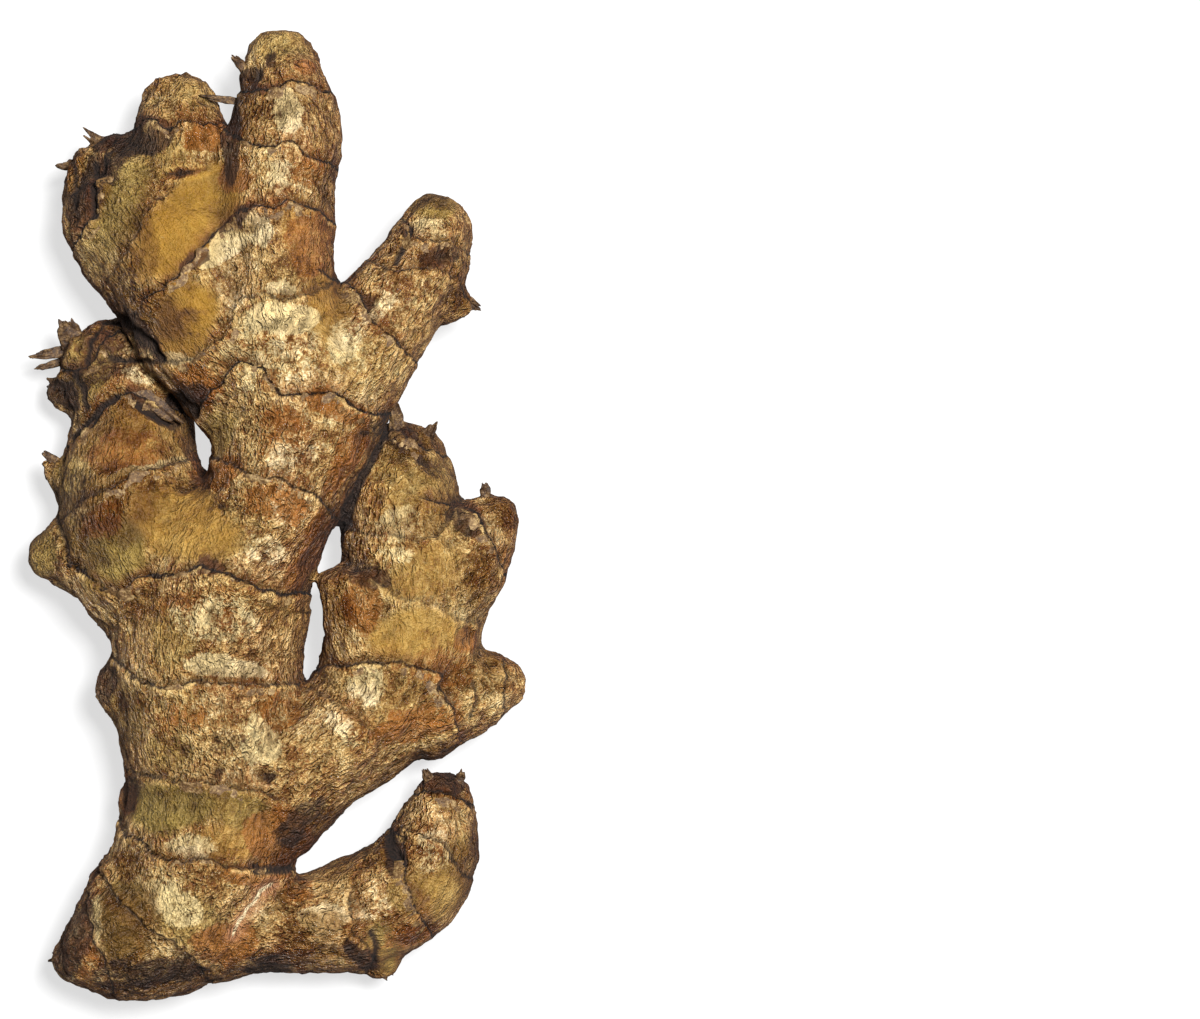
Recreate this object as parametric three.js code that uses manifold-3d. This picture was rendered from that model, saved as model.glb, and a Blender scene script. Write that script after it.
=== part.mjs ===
// A ginger rhizome ("hand" of ginger), lying on a flat surface.
//
// The whole rhizome grew as one piece, so it is one solid. A thick trunk runs up the middle, a
// blunt lobe closes its lower end, and fingers branch from it to both sides. Each finger is an
// oval section carried along a curved axis and closed by a dome at each end. The fingers are
// joined into one body, which is then levelled underneath where its own weight rests.
//
// Units are millimetres, +Z is up, X runs across the rhizome and Y along it, from the lobe at
// the bottom to the longest finger at the top.

import * as THREE from "three";
import { LoftGeometry } from "three/addons/geometries/LoftGeometry.js";
import { mergeVertices } from "three/addons/utils/BufferGeometryUtils.js";
import Module from "manifold-3d";

const wasm = await Module();
wasm.setup();

// Driving dimensions.
const SIDES = 18; // points round each oval section
const SECTION_STEP = 4.6; // distance along an axis from one section to the next
const TIP_SECTIONS = 4; // sections that round off the free end of a finger
const ROOT_SECTIONS = 2; // and the end that is buried in the body it grows from
const DOME_TIP = 0.16; // share of the section that is left at the very tip
const REST_CUT = 0.5; // depth of the flats that the weight presses on the underside
const CUT_MARGIN = 10; // how far the block that cuts those flats stands past the rhizome
const WELD = 1e-4; // points closer than this are one point
const SKIN_COLOUR = 0x9d7a4c;

// Every finger is a list of stations along its axis, from where it joins to its tip:
// [x, y, z, half width, half thickness]. rootReach and tipReach are how far the domes reach
// past the first and the last station.
const FINGERS = {
  trunk: {
    rootReach: 6,
    tipReach: 8,
    stations: [
      [-15, -69, 14, 12.5, 13.5],
      [-13.5, -61, 14.5, 14.9, 14.5],
      [-10.2, -51, 15, 15, 14.6],
      [-9.5, -43, 15, 14.2, 14],
      [-10.5, -33, 15.5, 15.6, 15],
      [-11, -21, 16, 15.8, 15.4],
      [-8.6, -9, 17, 16.4, 14.8],
      [-0.6, 1.4, 18.6, 11.2, 13.4],
      [1.9, 9.3, 20.2, 12.1, 12.8],
      [4, 17, 21, 14.2, 13.2],
      [3, 27, 21.5, 15, 13],
    ],
  },
  long_finger: {
    rootReach: 5,
    tipReach: 4,
    stations: [
      [2, 24, 22, 13, 12],
      [1.4, 36, 23, 9.7, 11],
      [0.8, 45, 23, 9.6, 10.4],
      [1.4, 54, 22.4, 9.1, 9.6],
      [2.4, 62, 21.5, 9.2, 9.2],
      [2.3, 68.6, 20.5, 8.5, 8.2],
      [1.4, 74.6, 19.5, 6.2, 6.8],
      [1.2, 77, 19, 5.7, 6],
    ],
  },
  left_lobe: {
    rootReach: 6,
    tipReach: 6.4,
    stations: [
      [0, 23, 20.5, 14, 12.5],
      [-9, 33, 20.5, 13.8, 12.5],
      [-15, 42, 18, 13.6, 13],
      [-20.6, 49.4, 14.2, 14.1, 13.4],
      [-25, 54, 11.2, 12.3, 12],
      [-27, 56.6, 10.2, 9.6, 10.4],
    ],
  },
  short_finger: {
    rootReach: 4,
    tipReach: 4,
    stations: [
      [-13, 50, 19, 9.5, 9],
      [-14.4, 59.5, 17.5, 8.9, 8.6],
      [-15.6, 65, 16, 7.6, 7.6],
      [-15.9, 69.6, 15, 6.3, 6.2],
    ],
  },
  right_prong: {
    rootReach: 5,
    tipReach: 4.8,
    stations: [
      [8, 20, 20.5, 11.6, 12.5],
      [15.4, 29, 19.5, 9.4, 10.6],
      [21.4, 37.2, 17.5, 8.1, 9],
      [25.4, 43.4, 15.5, 7.5, 8.2],
      [27.3, 49.1, 14, 5.9, 6.6],
    ],
  },
  prong_spur: {
    rootReach: 3,
    tipReach: 1.6,
    stations: [
      [25.4, 37.4, 16.5, 6, 5.6],
      [29.6, 36.2, 16, 4.2, 4],
      [32, 35.4, 15.8, 2.3, 2.4],
    ],
  },
  left_branch: {
    rootReach: 6,
    tipReach: 4.4,
    stations: [
      [-11, -18, 15, 12, 13],
      [-19.5, -6, 14.5, 15, 14],
      [-23.2, 2, 13.5, 13.2, 13],
      [-23.9, 10, 12.2, 10.9, 11.6],
      [-23.8, 17, 11, 10.1, 10.4],
      [-26.2, 23.5, 10, 9.4, 9],
      [-29.4, 28.2, 9.6, 7.6, 7.6],
    ],
  },
  left_branch_bud: {
    rootReach: 5,
    tipReach: 2.2,
    stations: [
      [-28, -5, 14, 10.6, 10],
      [-34.5, -5.8, 13.6, 7.2, 7],
      [-39, -6.4, 13.2, 3.4, 3.8],
    ],
  },
  left_branch_shoulder: {
    rootReach: 3,
    tipReach: 2,
    stations: [
      [-31, 2, 13, 5.5, 6],
      [-34.4, 5.2, 12.6, 3.6, 4],
      [-37.6, 8.4, 12.4, 1.4, 1.7],
    ],
  },
  left_branch_scar: {
    rootReach: 3,
    tipReach: 3,
    stations: [
      [-30, 24, 9.8, 5, 5.2],
      [-35.2, 20.9, 9.4, 3.4, 3.8],
    ],
  },
  trunk_bud: {
    rootReach: 4,
    tipReach: 2,
    stations: [
      [-20, -28.6, 15, 8.6, 8],
      [-25.6, -27.6, 14.6, 5.6, 6],
      [-27.2, -27.2, 14.4, 4.2, 4.6],
    ],
  },
  trunk_knot: {
    rootReach: 3,
    tipReach: 1.6,
    stations: [
      [-20, -48, 13, 6, 6],
      [-24.2, -46.8, 12.6, 3.4, 3.6],
    ],
  },
  right_branch: {
    rootReach: 7,
    tipReach: 4,
    stations: [
      [-2, -46, 14.2, 12.5, 12.6],
      [7, -39.4, 14.6, 10.2, 13],
      [16, -32.4, 13.6, 11.3, 13],
      [21.6, -21, 13.1, 12.6, 13],
      [23, -10, 13.1, 12.4, 13],
      [21.2, -1, 12.6, 10.4, 11.4],
      [21, 6.4, 11.2, 9.7, 9.6],
      [21.9, 12.2, 10.4, 6.8, 7],
    ],
  },
  right_branch_stub: {
    rootReach: 4,
    tipReach: 1.5,
    stations: [
      [18, -27, 17, 8.6, 9],
      [15.2, -18.4, 18.6, 6.5, 7],
      [14.2, -12.4, 19.6, 6, 6.4],
      [13.4, -8.8, 20, 6.2, 6],
    ],
  },
  right_branch_bud: {
    rootReach: 4,
    tipReach: 2,
    stations: [
      [28, -11, 14, 9.8, 9.6],
      [32.4, -5.2, 14, 7.7, 7.8],
      [36.1, -0.5, 14, 5.5, 5.6],
      [37.8, 1.8, 14, 3.7, 3.6],
    ],
  },
  right_branch_spur: {
    rootReach: 4,
    tipReach: 1.6,
    stations: [
      [24.4, -30.4, 14, 10.4, 10],
      [31, -29.2, 13, 8.1, 8],
      [36.6, -27.7, 12.4, 5.5, 5.4],
      [40.2, -27.4, 12, 3.4, 3.4],
    ],
  },
  bottom_lobe: {
    rootReach: 6,
    tipReach: 2.8,
    stations: [
      [-12, -60, 14.5, 14.2, 13.5],
      [-19.6, -66.8, 14, 14.1, 13.5],
      [-26.6, -71.2, 12, 10, 11.6],
      [-31.6, -73, 9.6, 6.4, 8.6],
      [-33.6, -73.8, 8.4, 4, 6],
    ],
  },
  bottom_finger: {
    rootReach: 6,
    tipReach: 3.5,
    stations: [
      [-8, -66.4, 13, 11.4, 12],
      [3, -67.8, 11.8, 7.9, 10.2],
      [12, -66.8, 11.2, 9.3, 10.4],
      [20.8, -62.8, 10.8, 9.5, 10.4],
      [25.8, -56.8, 10.2, 8.6, 9.4],
      [27.6, -50.4, 9.6, 6.7, 8.2],
      [28.4, -46.4, 9.2, 4.9, 6.8],
    ],
  },
  bottom_finger_bud: {
    rootReach: 3,
    tipReach: 1.7,
    stations: [
      [15.6, -67.5, 10.5, 7, 7],
      [16.6, -73, 9.6, 5, 5],
      [16.7, -75.4, 9.2, 4, 3.6],
    ],
  },
};

// The oval at one point of an axis: the width lies level, the thickness stands square to it.
// Its points run anticlockwise as seen from the tip, so that the loft's faces point outwards.
function ovalSection(centre, along, halfWidth, halfThickness) {
  const across = new THREE.Vector3(-along.y, along.x, 0).normalize();
  const upward = new THREE.Vector3().crossVectors(along, across);
  return Array.from({ length: SIDES }, (_, side) => {
    const angle = (side / SIDES) * 2 * Math.PI;
    return centre
      .clone()
      .addScaledVector(across, halfWidth * Math.cos(angle))
      .addScaledVector(upward, halfThickness * Math.sin(angle));
  });
}

// The sections that round off one end, from the widest to the tip.
function domeSections(count, centre, outward, along, [halfWidth, halfThickness], reach) {
  return Array.from({ length: count }, (_, step) => {
    const angle = ((step + 1) / count) * (Math.PI / 2);
    const share = Math.max(Math.cos(angle), DOME_TIP);
    const at = centre.clone().addScaledVector(outward, reach * Math.sin(angle));
    return ovalSection(at, along, halfWidth * share, halfThickness * share);
  });
}

// One finger as a closed loft along a smooth curve through its stations.
function fingerGeometry({ stations, rootReach, tipReach }) {
  const axis = new THREE.CatmullRomCurve3(stations.map(([x, y, z]) => new THREE.Vector3(x, y, z)));
  const girth = new THREE.CatmullRomCurve3(
    stations.map(([, , , width, thickness]) => new THREE.Vector3(width, thickness, 0)),
  );
  const steps = Math.max(3, Math.round(axis.getLength() / SECTION_STEP));
  const sections = [];
  for (let i = 0; i <= steps; i++) {
    const t = i / steps;
    const { x: width, y: thickness } = girth.getPoint(t);
    sections.push(ovalSection(axis.getPoint(t), axis.getTangent(t), width, thickness));
  }
  const [rootAlong, tipAlong] = [axis.getTangent(0), axis.getTangent(1)];
  const [rootGirth, tipGirth] = [0, 1].map((t) => girth.getPoint(t).toArray());
  const rootward = rootAlong.clone().negate();
  const root = axis.getPoint(0);
  const tip = axis.getPoint(1);
  const rootDome = domeSections(ROOT_SECTIONS, root, rootward, rootAlong, rootGirth, rootReach);
  const tipDome = domeSections(TIP_SECTIONS, tip, tipAlong, tipAlong, tipGirth, tipReach);
  return new LoftGeometry([...rootDome.reverse(), ...sections, ...tipDome], {
    capStart: true,
    capEnd: true,
  });
}

// A closed three.js geometry as a manifold solid.
function solidOf(geometry) {
  const bare = new THREE.BufferGeometry();
  bare.setAttribute("position", geometry.getAttribute("position"));
  bare.setIndex(geometry.getIndex());
  const merged = mergeVertices(bare, WELD);
  return new wasm.Manifold(
    new wasm.Mesh({
      numProp: 3,
      vertProperties: merged.attributes.position.array,
      triVerts: new Uint32Array(merged.index.array),
    }),
  );
}

// A manifold solid back as a three.js geometry.
function geometryOf(solid) {
  const mesh = solid.getMesh();
  const geometry = new THREE.BufferGeometry();
  geometry.setAttribute("position", new THREE.BufferAttribute(mesh.vertProperties, mesh.numProp));
  geometry.setIndex(new THREE.BufferAttribute(mesh.triVerts, 1));
  geometry.computeVertexNormals();
  return geometry;
}

// The block of space under the level that the rhizome rests on, wider than the rhizome all round.
function spaceBelow(level, [minX, minY], [maxX, maxY]) {
  const width = maxX - minX + 2 * CUT_MARGIN;
  const length = maxY - minY + 2 * CUT_MARGIN;
  const block = new THREE.BoxGeometry(width, length, CUT_MARGIN);
  block.translate((minX + maxX) / 2, (minY + maxY) / 2, level - CUT_MARGIN / 2);
  return solidOf(block);
}

// The fingers joined, with the flats that carry the weight cut level at the surface below.
function rhizomeSolid() {
  const fingers = Object.values(FINGERS).map((finger) => solidOf(fingerGeometry(finger)));
  const joined = fingers.reduce((body, finger) => body.add(finger));
  const { min, max } = joined.boundingBox();
  return joined.subtract(spaceBelow(min[2] + REST_CUT, min, max));
}

const solid = rhizomeSolid();
const { min, max } = solid.boundingBox();
const skin = new THREE.MeshStandardMaterial({
  color: SKIN_COLOUR,
  roughness: 0.6,
  metalness: 0,
});
const root = new THREE.Mesh(geometryOf(solid), skin);
root.name = "ginger_root";
// The origin is under the middle of the rhizome's outline, on the surface it rests on.
root.position.set(-(min[0] + max[0]) / 2, -(min[1] + max[1]) / 2, -min[2]);

const rhizome = new THREE.Group();
rhizome.add(root);

export default rhizome;
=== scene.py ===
"""A hand of fresh ginger lying on a pale surface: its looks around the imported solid.

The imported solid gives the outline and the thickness. Here its copy is remeshed evenly and
carved: swollen fingers, node lines where the older skin laps over the younger, lengthwise
wrinkles, pits and crumpled tips. Thin papery scales stand on it as pieces of their own.

Lengths in the tables of this file are millimetres; Blender's are metres.
"""

import logging
import math
from collections.abc import Iterable, Sequence
from dataclasses import dataclass, field
from enum import Enum
from typing import Any

import bmesh
import bpy
import numpy as np
from mathutils import Matrix, Vector, noise
from mathutils.bvhtree import BVHTree

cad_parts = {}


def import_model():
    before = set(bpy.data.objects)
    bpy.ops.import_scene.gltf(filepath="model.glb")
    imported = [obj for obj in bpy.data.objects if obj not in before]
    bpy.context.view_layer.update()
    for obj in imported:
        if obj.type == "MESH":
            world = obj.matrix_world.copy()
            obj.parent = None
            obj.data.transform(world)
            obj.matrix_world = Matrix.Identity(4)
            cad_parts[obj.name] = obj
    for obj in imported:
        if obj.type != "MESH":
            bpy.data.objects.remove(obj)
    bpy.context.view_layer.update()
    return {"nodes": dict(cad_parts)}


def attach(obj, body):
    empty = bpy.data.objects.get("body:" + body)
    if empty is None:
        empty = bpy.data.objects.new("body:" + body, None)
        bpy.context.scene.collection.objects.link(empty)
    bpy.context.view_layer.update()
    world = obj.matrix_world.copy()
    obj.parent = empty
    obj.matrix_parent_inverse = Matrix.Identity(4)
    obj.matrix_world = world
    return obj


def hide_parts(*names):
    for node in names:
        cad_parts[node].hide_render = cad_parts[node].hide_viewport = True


LOG = logging.getLogger("ginger")

MM = 0.001  # one millimetre in metres
NODE = "ginger_root"
BODY = "root"
AXIS_SHIFT = (-0.30, -0.45, -0.53)  # from the numbers of the axis stations to the row frame
MERGE_GAP = 0.001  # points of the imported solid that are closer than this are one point

Array = np.ndarray
Point2 = tuple[float, float]
Colour = tuple[float, float, float]
Station = tuple[float, float, float, float, float]
PatchRow = tuple[float, float, float, float, float, float]


class Tone(Enum):
    """What the skin is like over a patch of it."""

    GOLD = "tone_gold"
    OLIVE = "tone_olive"
    # Dark brown skin, and painted shade: the dents darken their hollows in this tone, and some patches lie
    # in shadowed gaps.
    UMBER = "tone_umber"
    RUSSET = "tone_russet"
    CREAM = "tone_cream"
    CRUMPLED = "tone_crumpled"
    # Brown stains, and in places painted shade on edges and in gaps between parts.
    BROWN_AND_SHADE = "tone_brown_and_shade"
    # Paler skin, and along the crowns a painted highlight.
    PALE_AND_SHEEN = "tone_pale_and_sheen"


BROAD_TONES = (Tone.BROWN_AND_SHADE, Tone.PALE_AND_SHEEN, Tone.CRUMPLED)  # their edges fade away
BROAD_FADE = (0.5, 1.25)  # where such an edge starts and ends, as shares of the patch
TORN_FADE = (0.74, 1.10)  # and the same for the other tones


@dataclass(frozen=True)
class Ring:
    """A node line, drawn from above: the torn edge of older skin over the next stretch."""

    fingers: tuple[str, ...]
    lip: float  # height of the edge
    ink: float  # how dark the line is
    paper: float  # how far a separate papery edge reaches past the line, 0 for none
    points: tuple[Point2, ...]


@dataclass(frozen=True)
class Dent:
    """An oval hollow (depth above 0) or knob (below 0), with a rim, seen from above."""

    at: Point2
    size: Point2
    depth: float
    turn: float = 0.0
    rim: float = 0.0
    # how dark the painted shade in the hollow is
    ink: float = 0.0


@dataclass(frozen=True)
class Groove:
    """A fold between two parts, darkened with painted shade: its line, its half width and its depth."""

    points: tuple[Point2, ...]
    width: float
    depth: float
    # how dark the painted shade in the fold is
    ink: float = 1.0


@dataclass(frozen=True)
class Leaf:
    """A thin papery scale: where it is rooted, which way it points, and how it curls."""

    name: str
    root: tuple[float, float, float]
    heading: float  # degrees in plan, 0 along +X
    rise: float  # degrees above level
    length: float
    width: float
    curl: float = 0.0  # degrees that the tip bends up
    twist: float = 0.0  # degrees that the tip turns about the leaf's own length


@dataclass(frozen=True)
class Ripple:
    """Smooth noise over the skin: its height, the size of its waves, and a seed of its own."""

    height: float
    size: float
    seed: int


@dataclass(frozen=True)
class Fold:
    """Sharp ridges with rounded valleys: crest is where their tops lie, as a share of height."""

    height: float
    size: float | tuple[float, float, float]
    seed: int
    crest: float


NETTING = (Fold(0.72, (2.4, 2.4, 4.0), 9, 0.35), Fold(0.54, (1.4, 1.4, 2.2), 10, 0.30))
CRUMPLES = (Fold(1.9, 5.2, 12, 0.4), Fold(0.9, 2.6, 13, 0.4))
SWELLING = (Ripple(0.60, 12.0, 3), Ripple(0.42, 5.5, 4))  # of the whole root
TORN_EDGE = (Ripple(0.55, 4.2, 1), Ripple(0.32, 1.7, 2))  # how a node line strays
PITS = (Ripple(0.10, 1.9, 11), Ripple(0.16, 3.3, 15))
STAIN_SWAYS = (  # how the outline of a stain strays, across and along the root
    (Ripple(1.3, 6.0, 5), Ripple(0.6, 2.0, 6)),
    (Ripple(1.3, 6.0, 7), Ripple(0.6, 2.0, 8)),
)
LAP_SWELL = (Ripple(1.1, 5.0, 14),)  # how the height of a lap varies along its line
DENT_EDGE = (Ripple(0.35, 1.2, 16),)
PAPER_REACH = (Ripple(1.5, 3.4, 30), Ripple(1.0, 1.0, 31))  # how far a papery edge reaches out
PAPER_LIFT = (Ripple(0.6, 3.0, 32),)  # and how far it stands up

# Stations along the axis of each branch: x, y, z, half width and half thickness.
FINGERS: dict[str, tuple[Station, ...]] = {
    "trunk": (
        (-15, -69, 14, 12.5, 13.5), (-13.5, -61, 14.5, 14.9, 14.5), (-10.2, -51, 15, 15, 14.6),
        (-9.5, -43, 15, 14.2, 14), (-10.5, -33, 15.5, 15.6, 15), (-11, -21, 16, 15.8, 15.4),
        (-8.6, -9, 17, 16.4, 14.8), (-0.6, 1.4, 18.6, 11.2, 13.4), (1.9, 9.3, 20.2, 12.1, 12.8),
        (4, 17, 21, 14.2, 13.2), (3, 27, 21.5, 15, 13),
    ),
    "long_finger": (
        (2, 24, 22, 13, 12), (1.4, 36, 23, 9.7, 11), (0.8, 45, 23, 9.6, 10.4), (1.4, 54, 22.4, 9.1, 9.6),
        (2.4, 62, 21.5, 9.2, 9.2), (2.3, 68.6, 20.5, 8.5, 8.2), (1.4, 74.6, 19.5, 6.2, 6.8),
        (1.2, 77, 19, 5.7, 6),
    ),
    "left_lobe": (
        (0, 23, 20.5, 14, 12.5), (-9, 33, 20.5, 13.8, 12.5), (-15, 42, 18, 13.6, 13),
        (-20.6, 49.4, 14.2, 14.1, 13.4), (-25, 54, 11.2, 12.3, 12), (-27, 56.6, 10.2, 9.6, 10.4),
    ),
    "short_finger": (
        (-13, 50, 19, 9.5, 9), (-14.4, 59.5, 17.5, 8.9, 8.6), (-15.6, 65, 16, 7.6, 7.6),
        (-15.9, 69.6, 15, 6.3, 6.2),
    ),
    "right_prong": (
        (8, 20, 20.5, 11.6, 12.5), (15.4, 29, 19.5, 9.4, 10.6), (21.4, 37.2, 17.5, 8.1, 9),
        (25.4, 43.4, 15.5, 7.5, 8.2), (27.3, 49.1, 14, 5.9, 6.6),
    ),
    "prong_spur": ((25.4, 37.4, 16.5, 6, 5.6), (29.6, 36.2, 16, 4.2, 4), (32, 35.4, 15.8, 2.3, 2.4)),
    "left_branch": (
        (-11, -18, 15, 12, 13), (-19.5, -6, 14.5, 15, 14), (-23.2, 2, 13.5, 13.2, 13),
        (-23.9, 10, 12.2, 10.9, 11.6), (-23.8, 17, 11, 10.1, 10.4), (-26.2, 23.5, 10, 9.4, 9),
        (-29.4, 28.2, 9.6, 7.6, 7.6),
    ),
    "left_branch_bud": (
        (-28, -5, 14, 10.6, 10), (-34.5, -5.8, 13.6, 7.2, 7), (-39, -6.4, 13.2, 3.4, 3.8),
    ),
    "left_branch_shoulder": (
        (-31, 2, 13, 5.5, 6), (-34.4, 5.2, 12.6, 3.6, 4), (-37.6, 8.4, 12.4, 1.4, 1.7),
    ),
    "left_branch_scar": ((-30, 24, 9.8, 5, 5.2), (-35.2, 20.9, 9.4, 3.4, 3.8)),
    "trunk_bud": ((-20, -28.6, 15, 8.6, 8), (-25.6, -27.6, 14.6, 5.6, 6), (-27.2, -27.2, 14.4, 4.2, 4.6)),
    "trunk_knot": ((-20, -48, 13, 6, 6), (-24.2, -46.8, 12.6, 3.4, 3.6)),
    "right_branch": (
        (-2, -46, 14.2, 12.5, 12.6), (7, -39.4, 14.6, 10.2, 13), (16, -32.4, 13.6, 11.3, 13),
        (21.6, -21, 13.1, 12.6, 13), (23, -10, 13.1, 12.4, 13), (21.2, -1, 12.6, 10.4, 11.4),
        (21, 6.4, 11.2, 9.7, 9.6), (21.9, 12.2, 10.4, 6.8, 7),
    ),
    "right_branch_stub": (
        (18, -27, 17, 8.6, 9), (15.2, -18.4, 18.6, 6.5, 7), (14.2, -12.4, 19.6, 6, 6.4),
        (13.4, -8.8, 20, 6.2, 6),
    ),
    "right_branch_bud": (
        (28, -11, 14, 9.8, 9.6), (32.4, -5.2, 14, 7.7, 7.8), (36.1, -0.5, 14, 5.5, 5.6),
        (37.8, 1.8, 14, 3.7, 3.6),
    ),
    "right_branch_spur": (
        (24.4, -30.4, 14, 10.4, 10), (31, -29.2, 13, 8.1, 8), (36.6, -27.7, 12.4, 5.5, 5.4),
        (40.2, -27.4, 12, 3.4, 3.4),
    ),
    "bottom_lobe": (
        (-12, -60, 14.5, 14.2, 13.5), (-19.6, -66.8, 14, 14.1, 13.5), (-26.6, -71.2, 12, 10, 11.6),
        (-31.6, -73, 9.6, 6.4, 8.6), (-33.6, -73.8, 8.4, 4, 6),
    ),
    "bottom_finger": (
        (-8, -66.4, 13, 11.4, 12), (3, -67.8, 11.8, 7.9, 10.2), (12, -66.8, 11.2, 9.3, 10.4),
        (20.8, -62.8, 10.8, 9.5, 10.4), (25.8, -56.8, 10.2, 8.6, 9.4), (27.6, -50.4, 9.6, 6.7, 8.2),
        (28.4, -46.4, 9.2, 4.9, 6.8),
    ),
    "bottom_finger_bud": ((15.6, -67.5, 10.5, 7, 7), (16.6, -73, 9.6, 5, 5), (16.7, -75.4, 9.2, 4, 3.6)),
}

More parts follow.
